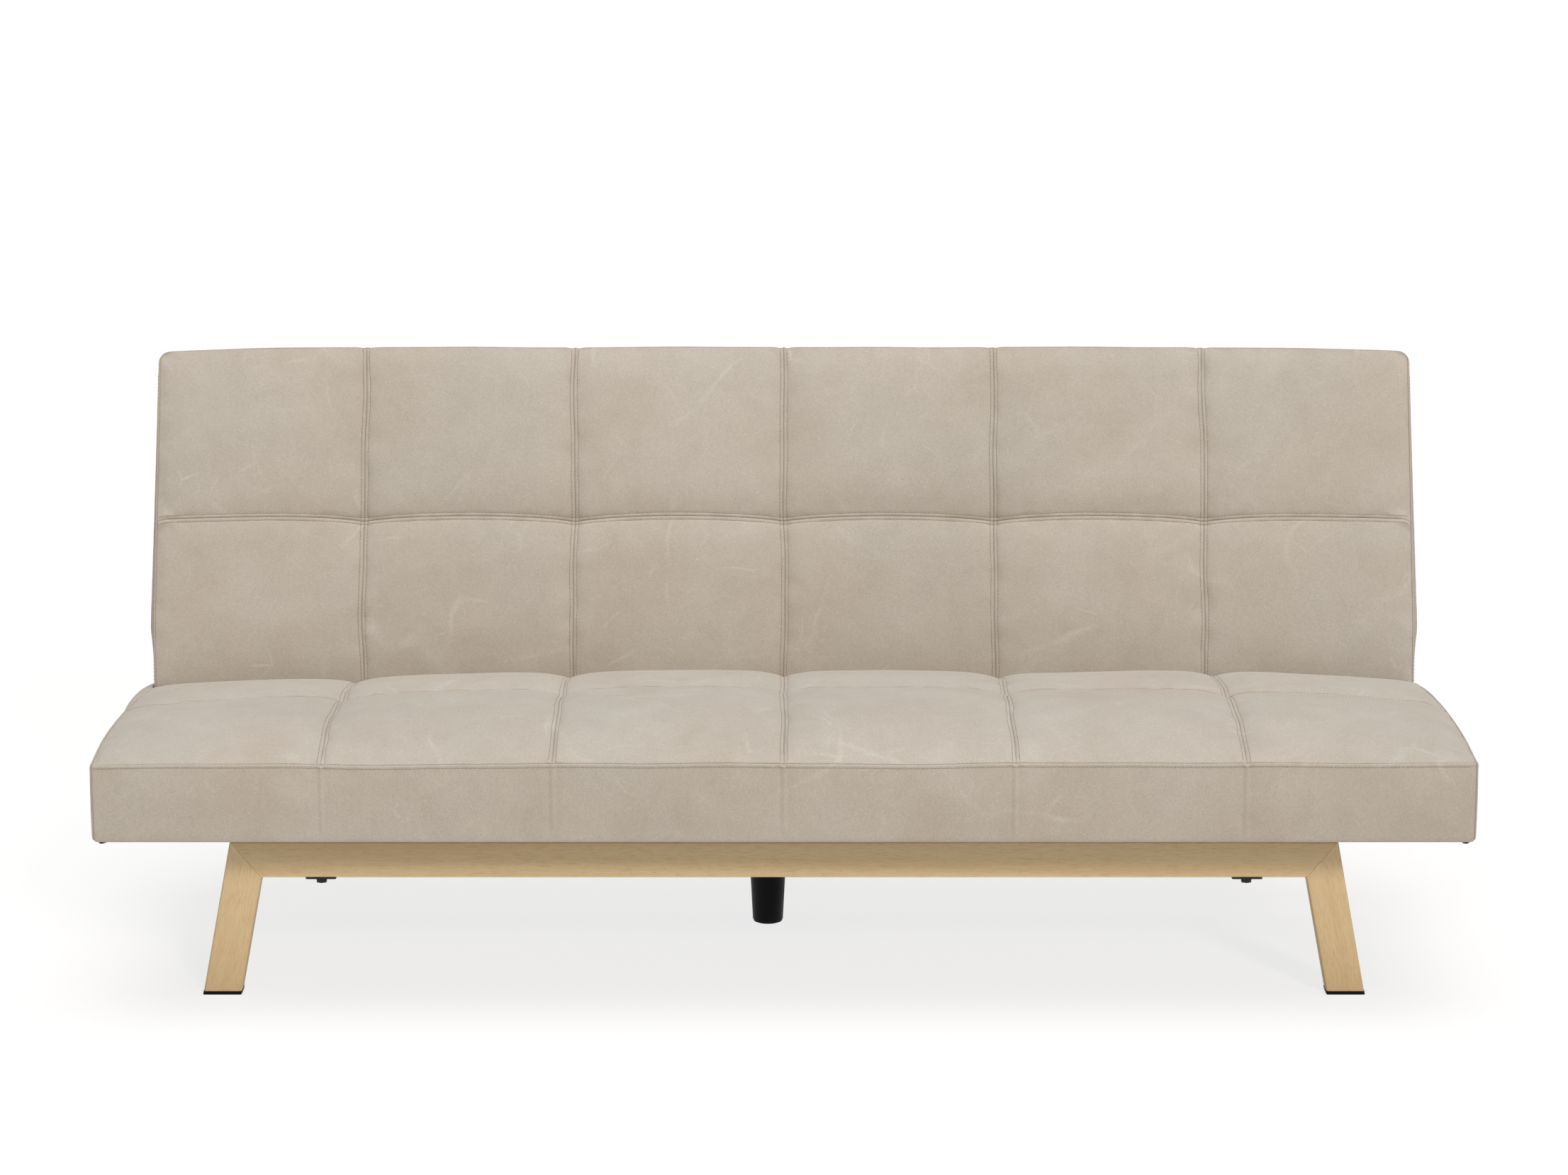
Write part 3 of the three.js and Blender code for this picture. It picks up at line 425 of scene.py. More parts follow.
def zinc_steel():
    nodes = Nodes("zinc_steel")
    spangle = nodes.noise(nodes.place((1.0, 8.0, 8.0)), 40.0, 4.0, 0.6, 0.5)
    nodes.color(nodes.mix((0.36, 0.37, 0.39), (0.52, 0.53, 0.54), nodes.scaled(spangle, 0.35, 0.65)))
    nodes.rough(spangle, 0.28, 0.5)
    nodes.set(Metallic=0.9)
    nodes.normal(nodes.bump(spangle, 0.0002, 0.3))
    return nodes.material


def felt():
    nodes = Nodes("felt")
    where = nodes.place()
    fibres = nodes.noise(where, 800.0, 4.0, 0.7)
    dimples = nodes.noise(where, 300.0, 1.0)
    nodes.color(nodes.mix((0.012, 0.012, 0.013), (0.035, 0.035, 0.037), nodes.scaled(fibres, 0.3, 0.7)))
    nodes.set(Roughness=0.98, Specular_IOR_Level=0.1)
    nodes.normal(nodes.bump(dimples, 0.0006, 0.6))
    return nodes.material


# Curves that both cushions share


def smooth_curve(points, place):
    """A value on a smooth curve through a few (place, value) points."""
    xs, ys = zip(*points)
    slopes = []
    for i in range(len(xs)):
        before, after = max(i - 1, 0), min(i + 1, len(xs) - 1)
        slopes.append((ys[after] - ys[before]) / (xs[after] - xs[before]))
    place = min(max(place, xs[0]), xs[-1])
    i = max(k for k in range(len(xs) - 1) if xs[k] <= place)
    span = xs[i + 1] - xs[i]
    t = (place - xs[i]) / span
    start = (1 + 2 * t) * (1 - t) ** 2 * ys[i] + t * (1 - t) ** 2 * span * slopes[i]
    return start + t * t * (3 - 2 * t) * ys[i + 1] + t * t * (t - 1) * span * slopes[i + 1]


def dome(place, power):
    return 1 - abs(place) ** power


def eased(value):
    """From 0 to 1 as the value does, with a soft start and end."""
    value = min(max(value, 0.0), 1.0)
    return value * value * (3 - 2 * value)


def wander(place, wave, seed):
    """A smooth irregular value from -1 to 1 along a line, the same each run."""
    turns = 2 * math.pi * place / wave
    return (math.sin(turns + 1.7 * seed) + 0.7 * math.sin(1.83 * turns + 4.1 * seed)
            + 0.5 * math.sin(3.37 * turns + 2.3 * seed)) / 2.2


def lumps(x, y, seed):
    """Slow unevenness of the filling under the cover, from -1 to 1."""
    return (wander(x + 0.3 * y, 0.31, seed) + wander(y - 0.2 * x, 0.23, seed + 3)
            + wander(x - y, 0.47, seed + 7)) / 3


def filled(distance, reach):
    """How full a panel is at a distance from its seam: a soft shoulder and a flat middle."""
    return (1 - (1 - min(max(distance, 0) / reach, 1)) ** 4) ** 0.6


def seam_line(distance):
    """Height across a sewn seam: a cut line, a welt each side of it, and the stitches' dip."""
    distance = abs(distance)
    height = -GROOVE_DEPTH * max(0.0, 1 - distance / GROOVE_HALF)
    if GROOVE_HALF < distance < WELT_END:
        height += WELT * math.sin(math.pi * (distance - GROOVE_HALF) / (WELT_END - GROOVE_HALF))
    return height - STITCH_DIP * math.exp(-((distance - STITCH_LINE) / STITCH_DIP_HALF) ** 2)


def puckers(place, distance, seed, size=0.0006, wave=0.019, reach=0.016):
    """Small gathers that a row of stitches pulls into the cloth beside it."""
    past = abs(distance) - STITCH_LINE
    if past < 0:
        return 0.0
    strength = 0.55 + 0.45 * wander(place, 0.21, seed + 5)
    start = past / PUCKER_START
    return size * strength * wander(place, wave, seed) * start / (1 + start) * math.exp(-past / reach)


SEAMS = [k * PANEL_WIDTH - HALF_WIDTH for k in range(1, PANELS)]


def nearest_seam(x):
    number = min(range(len(SEAMS)), key=lambda k: abs(x - SEAMS[k]))
    return number, x - SEAMS[number]


def column_fill(x):
    """Filling across the panels, down to the seams and the cushion's two sides."""
    reach = PANEL_WIDTH / 2
    distance = nearest_seam(x)[1]
    if abs(x) > HALF_WIDTH - reach:
        return filled(HALF_WIDTH - CORNER - abs(x), reach)
    return filled(abs(distance) - SEAM_FLAT, reach - SEAM_FLAT)


def row_fill(y, cross, length):
    """Filling down the panels, from edge to cross seam to edge."""
    if y < cross / 2:
        return filled(y, cross / 2)
    if y < (cross + length) / 2:
        reach = (cross if y < cross else length - cross) / 2
        return filled(abs(y - cross) - SEAM_FLAT, reach - SEAM_FLAT)
    return filled(length - y, (length - cross) / 2)


def end_inset(x, radius=CORNER):
    """How far the section shrinks towards the cushion's sides, with the seam round its side panel."""
    edge = HALF_WIDTH - abs(x)
    past = max(0.0, radius - edge)
    inset = radius - math.sqrt(max(0.0, radius ** 2 - past ** 2))
    return inset + GROOVE_DEPTH * max(0.0, 1 - abs(edge - CORNER) / GROOVE_HALF)


def pinch(x, y, cross, depth, seed):
    """The dimple where two seams cross, deeper at some crossings."""
    number, distance = nearest_seam(x)
    strength = 1 + 0.45 * wander(number + 1, 1.9, seed)
    away = math.hypot(distance, y - cross)
    return -depth * strength * math.exp(-(away / PINCH_REACH) ** 1.5)


def face_relief(x, y, cross, across, along, rows, depth, seed):
    """Height of the sewn face over its plain crowned form."""
    number, distance = nearest_seam(x)
    inner = min(1.0, 4 * along)
    height = PUFF * (COLUMN_SHARE * column_fill(x) * along + ROW_SHARE * rows * across)
    height += seam_line(distance) * inner
    height += seam_line(y - cross) * min(1.0, 6 * across)
    height += pinch(x, y, cross, depth, seed) * inner
    height += puckers(y, distance, number + seed) * inner
    height += puckers(x, y - cross, 11 + seed) * min(1.0, 4 * across)
    return height + LUMP_HEIGHT * lumps(x, y, seed) * min(1.0, 3 * along) * min(1.0, 3 * across)


def pocket_side(share, start, stop, edge, level, rise, step, way):
    """The side with the frame's pocket: in at start, out at stop, on to the edge."""
    corners = {0.0: (start, level), 0.2: (start + step, rise), 0.4: (stop - step, rise), 0.6: (stop, level),
               0.8: (edge - way * CORNER, level), 0.9: (edge - way * CHAMFER, level + CHAMFER)}
    return corners[round(share, 3)]


def on_seam(x, y, cross):
    return abs(nearest_seam(x)[1]) < WELT_END or abs(y - cross) < WELT_END


# Seat cushion


def seat_wave(x):
    """Rise and fall of the seam along the seat's front edge."""
    share = abs(x) / HALF_WIDTH
    end = SEAT_WAVE_ENDS["right"] * share ** 2 if x > 0 else SEAT_WAVE_ENDS["left"] * share
    return SEAT_WAVE * wander(x, SEAT_WAVE_LENGTH, 2) + end


def rear_lift(x, share):
    """The filling stands fuller at the seat's rear ends, more so on the right."""
    lift, start, full = REAR_LIFTS["right" if x > 0 else "left"]
    return lift * eased((abs(x) / HALF_WIDTH - start) / (full - start)) * eased(share / REAR_LIFT_SHARE)


def seat_top(x, y):
    share = y / SEAT_DEPTH
    across = dome(x / HALF_WIDTH, 2.6)
    along = max(0.0, dome(2 * share - 1, 3.2))
    rows = row_fill(y, SEAT_CROSS, SEAT_DEPTH)
    plain = smooth_curve(SEAT_EDGE, share) + along * SEAT_CROWN * across + rear_lift(x, share)
    wave = seat_wave(x) * math.exp(-y / SEAT_WAVE_REACH)
    front = puckers(x, y + STITCH_LINE, 17, *FRONT_PUCKER) * min(1.0, 4 * across)
    near = math.exp(-((y - SEAT_CROSS) / FOLD_REACH) ** 2) * (0.4 + 0.6 * wander(x, 0.33, 12) ** 2)
    folds = SEAT_FOLD * wander(y + FOLD_SHIFT * wander(x, 0.4, 3), FOLD_WAVE, 6) * near * column_fill(x)
    return plain + face_relief(x, y, SEAT_CROSS, across, along, rows, SEAT_PINCH, 1) + wave + front + folds


def seat_bulge(x, share):
    return SEAT_FRONT_BULGE * 0.8 * math.sin(math.pi * share) * (0.55 + 0.45 * column_fill(x))


def seat_point(x, station):
    """A point of the seat cover: station 0 underneath, 1 up the front, 2 over the top, 3 down the rear."""
    inset = end_inset(x)
    low = end_inset(x, BOTTOM_CORNER)
    part, share = int(station), station - int(station)
    rise = SEAT_POCKET_HEIGHT if abs(x) < SEAT_POCKET_HALF else low
    top_start = smooth_curve(SEAT_EDGE, 0) + seat_wave(x)
    if part == 0:
        step = 0.0 if abs(x) < SEAT_POCKET_HALF else RIM_STEP
        y, z = pocket_side(share, SEAT_DEPTH - SEAT_RIMS[1], SEAT_RIMS[0], inset, low, rise, -step, -1)
    elif part == 1:
        z = CORNER + low + share * (top_start - inset - CORNER - low)
        line = seam_line(top_start - inset - z)
        y = inset - seat_bulge(x, share) - line * min(1.0, 20 * share)
    elif part == 2:
        y = share * SEAT_FACE_END
        z = seat_top(x, y) - inset
        y = inset + share * (SEAT_FACE_END - 2 * inset)
    else:
        shoulder = seat_top(x, SEAT_FACE_END) - inset
        turn = math.pi / 2 * min(share / 0.5, 1)
        y = SEAT_FACE_END - inset + SEAT_REAR_RADIUS * math.sin(turn)
        z = shoulder - SEAT_REAR_RADIUS * (1 - math.cos(turn))
        if share > 0.5:
            down = (share - 0.5) / 0.5
            z = z + (low - z) * down
            y -= CHAMFER * max(0.0, down - 0.9) / 0.1
    lean = SEAT_LEAN * wander(y, SEAT_LEAN_WAVE, nearest_seam(x)[0] + 2) * dome(x / HALF_WIDTH, 8)
    return Vector((x + (lean if part == 2 else 0.0), SEAT_FRONT + y, SEAT_BOTTOM + z))


def seat_held(x, station):
    """How firmly the cover is held while it fills: seams, edges and underside stay."""
    part = int(station)
    if part == 0 or abs(x) > HALF_WIDTH - CORNER * 1.01:
        return 1.0
    if part == 2:
        y = (station - 2) * SEAT_FACE_END
        return 1.0 if on_seam(x, y, SEAT_CROSS) or y < WELT_END else 0.0
    return 0.9 if part == 1 else 0.85


# Back cushion


def back_swell(y):
    """How far the side panels swell beside the hinge, at a place along the back."""
    share = max(y, 0) / BACK_LENGTH
    return BACK_SWELL * (1 - share) * min(1, share / BACK_SWELL_SHARE) ** 2


def back_bulge(y):
    """How far the middle of a side panel bulges, at a place along the back."""
    return BACK_SIDE_BULGE * min(1, max(y, 0) / BACK_BULGE_START)


def back_roll(y):
    """How far the face rolls under towards the hinge."""
    return BACK_ROLL * max(0.0, 1 - y / BACK_ROLL_REACH) ** 2


def back_side(y, z):
    """Where a side panel's edge lies, and how far its middle bulges past that."""
    along = (y - PIVOT.y) * BACK_ALONG.y + (z - PIVOT.z) * BACK_ALONG.z
    swell = back_swell(along)
    return SEAM_SWELL_SHARE * swell, back_bulge(along) + (1 - SEAM_SWELL_SHARE) * swell


def seat_side(y, z):
    return 0.0, SEAT_SIDE_BULGE


def back_end(x):
    """Where the top end lies at a place across: a slight droop and a rounded corner."""
    droop = BACK_DROOP * abs(x / HALF_WIDTH) ** 8
    past = max(0.0, abs(x) - HALF_WIDTH + BACK_CORNER_RADIUS)
    corner = BACK_CORNER_RADIUS - math.sqrt(max(0.0, BACK_CORNER_RADIUS ** 2 - past ** 2))
    hem = BACK_SCALLOP * (column_fill(x) - 1)
    return BACK_LENGTH - droop - corner + hem + BACK_WAVE * wander(x, BACK_WAVE_LENGTH, 9)


def back_face(x, y):
    share = y / BACK_LENGTH
    across = dome(x / HALF_WIDTH, 4)
    along = max(0.0, dome(2 * share - 1, 2.2))
    edges = max(0.0, dome(2 * share - 1, 4))
    rows = row_fill(y, BACK_CROSS, BACK_LENGTH)
    plain = BACK_HALF + along * BACK_CROWN * across - back_roll(y)
    return plain + face_relief(x, y, BACK_CROSS, across, edges, rows, BACK_PINCH, 23)


def back_point(x, station):
    """A point of the back cover: station 0 behind, 1 over the top end, 2 down the face, 3 round the nose."""
    inset = end_inset(x)
    part, share = int(station), station - int(station)
    in_pocket = abs(x) < BACK_POCKET_HALF
    rear = inset - BACK_HALF
    rise = BACK_POCKET_DEPTH - BACK_HALF if in_pocket else rear
    end = back_end(x)
    lean = 0.0
    if part == 0:
        step = 0.0 if in_pocket else RIM_STEP
        y, z = pocket_side(share, BACK_RIM, BACK_LENGTH - BACK_RIM, end, rear, rise, step, 1)
        if share < 0.85:
            y = min(y, end - CORNER - CORNER_STEP * (0.8 - share))
    elif part == 1:
        edge = BACK_HALF - inset
        z = rear + CORNER + share * (edge - rear - CORNER)
        y = end + BACK_END_BULGE * math.sin(math.pi * share) + seam_line(edge - z) * min(1.0, 20 * share)
    elif part == 2:
        y = (1 - share) * BACK_LENGTH
        z = back_face(x, y) - inset
        number, distance = nearest_seam(x)
        arch = min(1.0, abs(distance) / (PANEL_WIDTH / 2)) if abs(x) < HALF_WIDTH else 0.0
        rise_up = BACK_ARCH * ((1 - (1 - arch) ** 2.2) - 0.5)
        shift = rise_up * math.exp(-((y - BACK_CROSS) / BACK_ARCH_REACH) ** 2)
        lean = BACK_LEAN * wander(y, BACK_LEAN_WAVE, number + 5) * dome(x / HALF_WIDTH, 8)
        y = (1 - share) * end + shift
    else:
        turn = math.pi * share
        half = BACK_HALF - inset - (back_roll(0) if share < 0.5 else 0)
        z = half * math.cos(turn)
        y = -(BACK_HALF - inset) * math.sin(turn)
    if ARM_LOW - FIT < abs(x) < ARM_HIGH + FIT:
        y = max(y, ARM_SLOT_TOP)
    swell = SEAM_SWELL_SHARE * back_swell(y) / HALF_WIDTH
    return PIVOT + Vector((x * (1 + swell) + lean, 0, 0)) + BACK_ALONG * y + BACK_OUT * z


def back_held(x, station):
    part = int(station)
    if part in (0, 3) or abs(x) > HALF_WIDTH - CORNER * 1.01:
        return 1.0
    if part == 2:
        y = (3 - station) * BACK_LENGTH
        return 1.0 if on_seam(x, y, BACK_CROSS) or y > BACK_LENGTH - WELT_END else 0.0
    return 0.9


# Stations and columns of the grids


NEAR_SEAM = [GROOVE_HALF, 0.002, 0.003, 0.004, WELT_END, STITCH_LINE, 0.0068, 0.009, 0.013, 0.019]
COARSE_SEAM = [STITCH_LINE, 0.014]
NEAR_EDGE = [0.0012, 0.003, 0.006, 0.011, 0.018]
NEAR_NOSE = [0.004, 0.012]
CORNER_SHARES = (0.12, 0.3, 0.5, 0.75)
POCKET_STATIONS = [0.0, 0.2, 0.4, 0.6, 0.8, 0.9]
REAR_STATIONS = [3.0, 3.08, 3.17, 3.25, 3.33, 3.42, 3.5, 3.6, 3.75, 3.9, 3.96]
NOSE_STEPS = 14
BELOW_NEXT = 0.00001


def places(start, end, step, after_start=(), before_end=()):
    """Places from start to end with chosen ones close to either end."""
    first = [start + value for value in after_start]
    last = [end - value for value in before_end]
    low = max([start, *first])
    high = min([end, *last])
    count = max(1, round((high - low) / step))
    middle = [low + (high - low) * k / count for k in range(1, count)]
    return sorted({round(value, 7) for value in [start, *first, *middle, *last, end]})


def grid_columns(near, step, pocket, slot):
    marks = []
    ends = [0.0] + [CORNER * share for share in CORNER_SHARES] + [CORNER - GROOVE_HALF]
    for panel in range(PANELS):
        start = panel * PANEL_WIDTH - HALF_WIDTH
        marks += places(start, start + PANEL_WIDTH, step, near, near)
    kept = [x for x in marks if abs(x) < HALF_WIDTH - CORNER - GROOVE_HALF * 1.5]
    kept += [side * (HALF_WIDTH - edge) for edge in [*ends, CORNER, CORNER + GROOVE_HALF] for side in (-1, 1)]
    steps = [edge + gap for edge in (pocket, *slot) for gap in (-FIT / 2, FIT / 2)]
    kept += [side * step for step in steps for side in (-1, 1)]
    return sorted(set(kept))


def boxing_stations(height, step, near):
    """Stations across the boxing, the last one just below the face's first."""
    found = [1 + z / height for z in places(0, height, step, (), near)]
    found[-1] = 2 - BELOW_NEXT
    return found


def seat_stations(near, edge, step):
    rows = places(0, SEAT_CROSS, step, edge, near) + places(SEAT_CROSS, SEAT_FACE_END, step, near)
    top = [2 + y / SEAT_FACE_END for y in sorted(set(rows))[1:-1]]
    return POCKET_STATIONS + boxing_stations(SEAT_BOXING, step, near) + top + REAR_STATIONS


def back_stations(near, edge, step):
    face = places(0, BACK_CROSS, step, NEAR_NOSE, near) + places(BACK_CROSS, BACK_LENGTH, step, near, edge)
    down = [3 - y / BACK_LENGTH for y in sorted(set(face), reverse=True)[1:]]
    down[-1] = 3 - BELOW_NEXT
    nose = [3 + k / NOSE_STEPS for k in range(1, NOSE_STEPS)] + [4 - BELOW_NEXT]
    return POCKET_STATIONS + boxing_stations(BACK_BOXING, step, near) + down + nose


# Meshes


def closed_piece(name, verts, faces):
    """A smooth piece whose faces all look outwards."""
    mesh = bpy.data.meshes.new(name)
    mesh.from_pydata(verts, [], faces)
    work = bmesh.new()
    work.from_mesh(mesh)
    bmesh.ops.recalc_face_normals(work, faces=work.faces)
    work.to_mesh(mesh)
    work.free()
    mesh.polygons.foreach_set("use_smooth", [True] * len(mesh.polygons))
    return linked(name, mesh)


def tube_walls(base, rings, sides):
    """The faces between the rings of a tube."""
    faces = []
    for ring in range(rings - 1):
        for side in range(sides):
            a = base + ring * sides + side
            b = base + ring * sides + (side + 1) % sides
            faces.append((a, b, b + sides, a + sides))
    return faces


def unit(vector):
    return vector / max(np.linalg.norm(vector), 1e-9)


# Covers


INSIDE_SHARE = 0.45
MERGE = 1e-7
CLOTH = {"quality": 5, "mass": 0.3, "tension_stiffness": 15, "compression_stiffness": 15,
         "shear_stiffness": 5, "bending_stiffness": 0.5, "use_pressure": True,
         "uniform_pressure_force": 3.5, "shrink_min": -0.012, "vertex_group_mass": "held"}
CLOTH_FRAMES = 20


def end_face(outline, side, panel, spacing=END_SPACING):
    """Points and faces that close one end of a cover."""
    flat = [(point.y, point.z) for point in outline]
    polygon = np.array(flat)
    low, high = polygon.min(0), polygon.max(0)
    inside = []
    for y in np.arange(low[0] + spacing / 2, high[0], spacing):
        for z in np.arange(low[1] + spacing / 2, high[1], spacing):
            if inside_polygon(polygon, y, z) and edge_distance(polygon, y, z) > spacing * INSIDE_SHARE:
                inside.append((float(y), float(z)))
    count = len(flat)
    edges = [(k, (k + 1) % count) for k in range(count)]
    solved = delaunay_2d_cdt([Vector(p) for p in flat + inside], edges, [], 1, MERGE)
    origin = [sources[0] for sources in solved[3]]
    faces = [[origin[k] for k in face] for face in solved[2]]
    added = []
    for y, z in inside:
        depth = min(1.0, edge_distance(polygon, y, z) / BULGE_REACH)
        start, bulge = panel(y, z)
        x = HALF_WIDTH + start + bulge * (1 - (1 - depth) ** 2)
        added.append(Vector((side * x, y, z)))
    return added, faces


def inside_polygon(polygon, y, z):
    low, high = polygon, np.roll(polygon, -1, 0)
    crosses = (low[:, 1] > z) != (high[:, 1] > z)
    rise = np.where(high[:, 1] == low[:, 1], 1e-12, high[:, 1] - low[:, 1])
    where = (high[:, 0] - low[:, 0]) * (z - low[:, 1]) / rise + low[:, 0]
    return bool(np.count_nonzero(crosses & (y < where)) % 2)


def edge_distance(polygon, y, z):
    low, high = polygon, np.roll(polygon, -1, 0)
    run = high - low
    length = np.maximum((run ** 2).sum(1), 1e-14)
    share = np.clip((((y, z) - low) * run).sum(1) / length, 0, 1)
    return float(np.sqrt((((y, z) - low - run * share[:, None]) ** 2).sum(1)).min())


class Cover:
    """A closed cushion cover on a grid of columns across and stations round its section."""

    def __init__(self, name, point, columns, stations, panel, move=None):
        self.name = name
        self.columns = columns
        self.stations = stations
        grid = np.array([[point(x, station) for station in stations] for x in columns])
        if move is not None:
            grid = grid + move(columns, stations)
        self.grid = grid
        verts = [Vector(row) for row in grid.reshape(-1, 3)]
        size = len(stations)
        faces = tube_walls(0, len(columns), size)
        for side, row in ((-1, 0), (1, len(columns) - 1)):
            outline = verts[row * size:(row + 1) * size]
            added, triangles = end_face(outline, side, panel)
            base = len(verts)
            verts += added
            for triangle in triangles:
                corners = [row * size + k if k < size else base + k - size for k in triangle]
                faces.append(tuple(corners if side > 0 else reversed(corners)))
        self.piece = closed_piece(name, [tuple(vert) for vert in verts], faces)

    def shaded(self, shade):
        """Stores how dark the cloth is painted at each point: painted shade in the seams' cut lines and beside the
        seams.
        """
        layer = self.piece.data.attributes.new("shade", "FLOAT", "POINT")
        values = [shade(x, station) for x in self.columns for station in self.stations]
        values += [0.0] * (len(self.piece.data.vertices) - len(values))
        layer.data.foreach_set("value", values)

    def smooth(self):
        modifier = self.piece.modifiers.new("smooth", "SUBSURF")
        modifier.levels = 1
        modifier.render_levels = 1

    def at(self, x, station):
        """The cover's place at a column and station of its grid."""
        i = min(max(int(np.searchsorted(self.columns, x)) - 1, 0), len(self.columns) - 2)
        k = min(max(int(np.searchsorted(self.stations, station)) - 1, 0), len(self.stations) - 2)
        s = (x - self.columns[i]) / (self.columns[i + 1] - self.columns[i])
        t = (station - self.stations[k]) / (self.stations[k + 1] - self.stations[k])
        low = self.grid[i, k] * (1 - t) + self.grid[i, k + 1] * t
        high = self.grid[i + 1, k] * (1 - t) + self.grid[i + 1, k + 1] * t
        return Vector(low * (1 - s) + high * s)


def filled_cover(name, point, held, columns, stations, panel, cap):
    """Fills a coarse cover as cloth under pressure, and returns how far each of its points moved."""
    coarse = Cover(name, point, columns, stations, panel)
    piece = coarse.piece
    count = len(columns) * len(stations)
    weights = [held(x, station) for x in columns for station in stations]
    weights += [1.0] * (len(piece.data.vertices) - count)
    group = piece.vertex_groups.new(name="held")
    for level in sorted(set(weights)):
        if level > 0:
            group.add([i for i, value in enumerate(weights) if value == level], level, "REPLACE")
    modifier = piece.modifiers.new("cover", "CLOTH")
    for key, value in CLOTH.items():
        setattr(modifier.settings, key, value)
    modifier.settings.effector_weights.gravity = 0
    modifier.point_cache.frame_start = 1
    modifier.point_cache.frame_end = CLOTH_FRAMES
    for number in range(1, CLOTH_FRAMES + 1):
        scene.frame_set(number)
    shaped = piece.evaluated_get(bpy.context.evaluated_depsgraph_get())
    ended = np.array([vert.co for vert in shaped.data.vertices])[:count]
    moved = ended - coarse.grid.reshape(-1, 3)
    length = np.linalg.norm(moved, axis=1, keepdims=True)
    moved *= cap * np.tanh(length / cap) / np.maximum(length, 1e-9)
    print(f"{name}: cover moved up to {float(length.max()) * 1000:.1f} mm")
    bpy.data.objects.remove(piece)
    scene.frame_set(1)
    field = moved.reshape(len(columns), len(stations), 3)

    def move(fine_columns, fine_stations):
        across = np.apply_along_axis(lambda line: np.interp(fine_columns, columns, line), 0, field)
        return np.apply_along_axis(lambda line: np.interp(fine_stations, stations, line), 1, across)

    return move


# Painted shade in the seams' cut lines: full at the line, gone past the groove's half width
def seam_shade(*distances):
    return max(max(0.0, 1 - abs(distance) / GROOVE_HALF) for distance in distances)


def cover_shade(x, station, y, cross, boxing):
    """How dark the cloth is painted: painted shade in the seams' cut lines, and painted shade beside the seams."""
    side = abs(HALF_WIDTH - CORNER - abs(x))
    if int(station) == 1:
        return LINE_SHADE * seam_shade((2 - station) * boxing, side)
    if int(station) != 2:
        return LINE_SHADE * seam_shade(side)
    seams = (nearest_seam(x)[1], y - cross)
    # Painted shade beside the seams, fading with distance from each seam
    painted_shade = PAINTED_SHADE_BESIDE_SEAMS * sum(math.exp(-abs(distance) / PAINTED_SHADE_BESIDE_SEAMS_REACH) for distance in seams)
    return LINE_SHADE * seam_shade(*seams, side) + painted_shade


def seat_shade(x, station):
    return cover_shade(x, station, (station - 2) * SEAT_FACE_END, SEAT_CROSS, SEAT_BOXING)


def back_shade(x, station):
    return cover_shade(x, station, (3 - station) * BACK_LENGTH, BACK_CROSS, BACK_BOXING)


# Stitching, laid on the finished covers


STITCH_RINGS = ((0.0, 0.4, -1.2), (0.2, 0.95, 0.1), (0.5, 1.0, 0.4), (0.8, 0.95, 0.1), (1.0, 0.4, -1.2))
STITCH_SIDES = 6
HOLE_RINGS = ((0.5, -0.0006), (1.0, 0.00002), (0.55, 0.00012))
HOLE_TURN = (0.31, 0.52, 0.79)
TRACE_STEP = 0.0014
LINE_STEP = 0.004
PHASE_SHARE = 0.37


class Thread:
    """Rows of stitches and needle holes gathered in one mesh."""

    def __init__(self, cover):
        self.cover = cover
        self.tree = BVHTree.FromObject(cover.piece, bpy.context.evaluated_depsgraph_get())
        self.verts, self.faces, self.kinds = [], [], []

    def row(self, line, phase):
        """A row along (column, station) places of the cover."""
        points = [self.cover.at(x, station) for x, station in line]
        found = []
        for start, end in zip(points, points[1:]):
            count = max(1, round((end - start).length / TRACE_STEP))
            for k in range(count):
                hit, normal, _, _ = self.tree.find_nearest(start.lerp(end, k / count))
                found.append((*hit, *normal))
        table = np.array(found)
        runs = np.concatenate([[0], np.cumsum(np.linalg.norm(np.diff(table[:, :3], axis=0), axis=1))])

        def at(run):
            spot = np.array([np.interp(run, runs, column) for column in table.T])
            return spot[:3], unit(spot[3:])

        start = phase * STITCH_PITCH
        while start + STITCH_LENGTH < runs[-1]:
            self.stitch(at, start)
            self.hole(*at(start - (STITCH_PITCH - STITCH_LENGTH) / 2))
            start += STITCH_PITCH

    def stitch(self, at, start):
        base = len(self.verts)
        along = unit(at(start + STITCH_LENGTH)[0] - at(start)[0])
        for share, size, lift in STITCH_RINGS:
            middle, up = at(start + share * STITCH_LENGTH)
            across = unit(np.cross(along, up))
            middle = middle + up * STITCH_RADIUS * (0.2 + lift)
            self.ring(middle, across, up, STITCH_RADIUS, size)
        self.close(base, len(STITCH_RINGS), 0)

    # A needle hole: a small dimple coloured dark, as painted shade inside the hole
    def hole(self, middle, up):
        base = len(self.verts)
        across = unit(np.cross(up, HOLE_TURN))
        other = np.cross(up, across)
        for size, lift in HOLE_RINGS:
            self.ring(middle, across, other, HOLE_RADIUS, size, up * lift)
        self.close(base, len(HOLE_RINGS), 1)

    def ring(self, middle, across, up, radius, size, lift=0.0):
        for side in range(STITCH_SIDES):
            angle = 2 * math.pi * side / STITCH_SIDES
            offset = across * math.cos(angle) + up * math.sin(angle)
            self.verts.append(tuple(middle + offset * radius * size + lift))

    def close(self, base, rings, kind):
        last = base + (rings - 1) * STITCH_SIDES
        faces = tube_walls(base, rings, STITCH_SIDES)
        faces.append(tuple(base + side for side in reversed(range(STITCH_SIDES))))
        faces.append(tuple(last + side for side in range(STITCH_SIDES)))
        self.faces += faces
        self.kinds += [kind] * len(faces)

    def finish(self, name, body, materials):
        piece = closed_piece(name, self.verts, self.faces)
        for material in materials:
            piece.data.materials.append(material)
        piece.data.polygons.foreach_set("material_index", self.kinds)
        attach(piece, body)


def between(start, end, step):
    count = max(1, round(abs(end - start) / step))
    return [start + (end - start) * k / count for k in range(count + 1)]


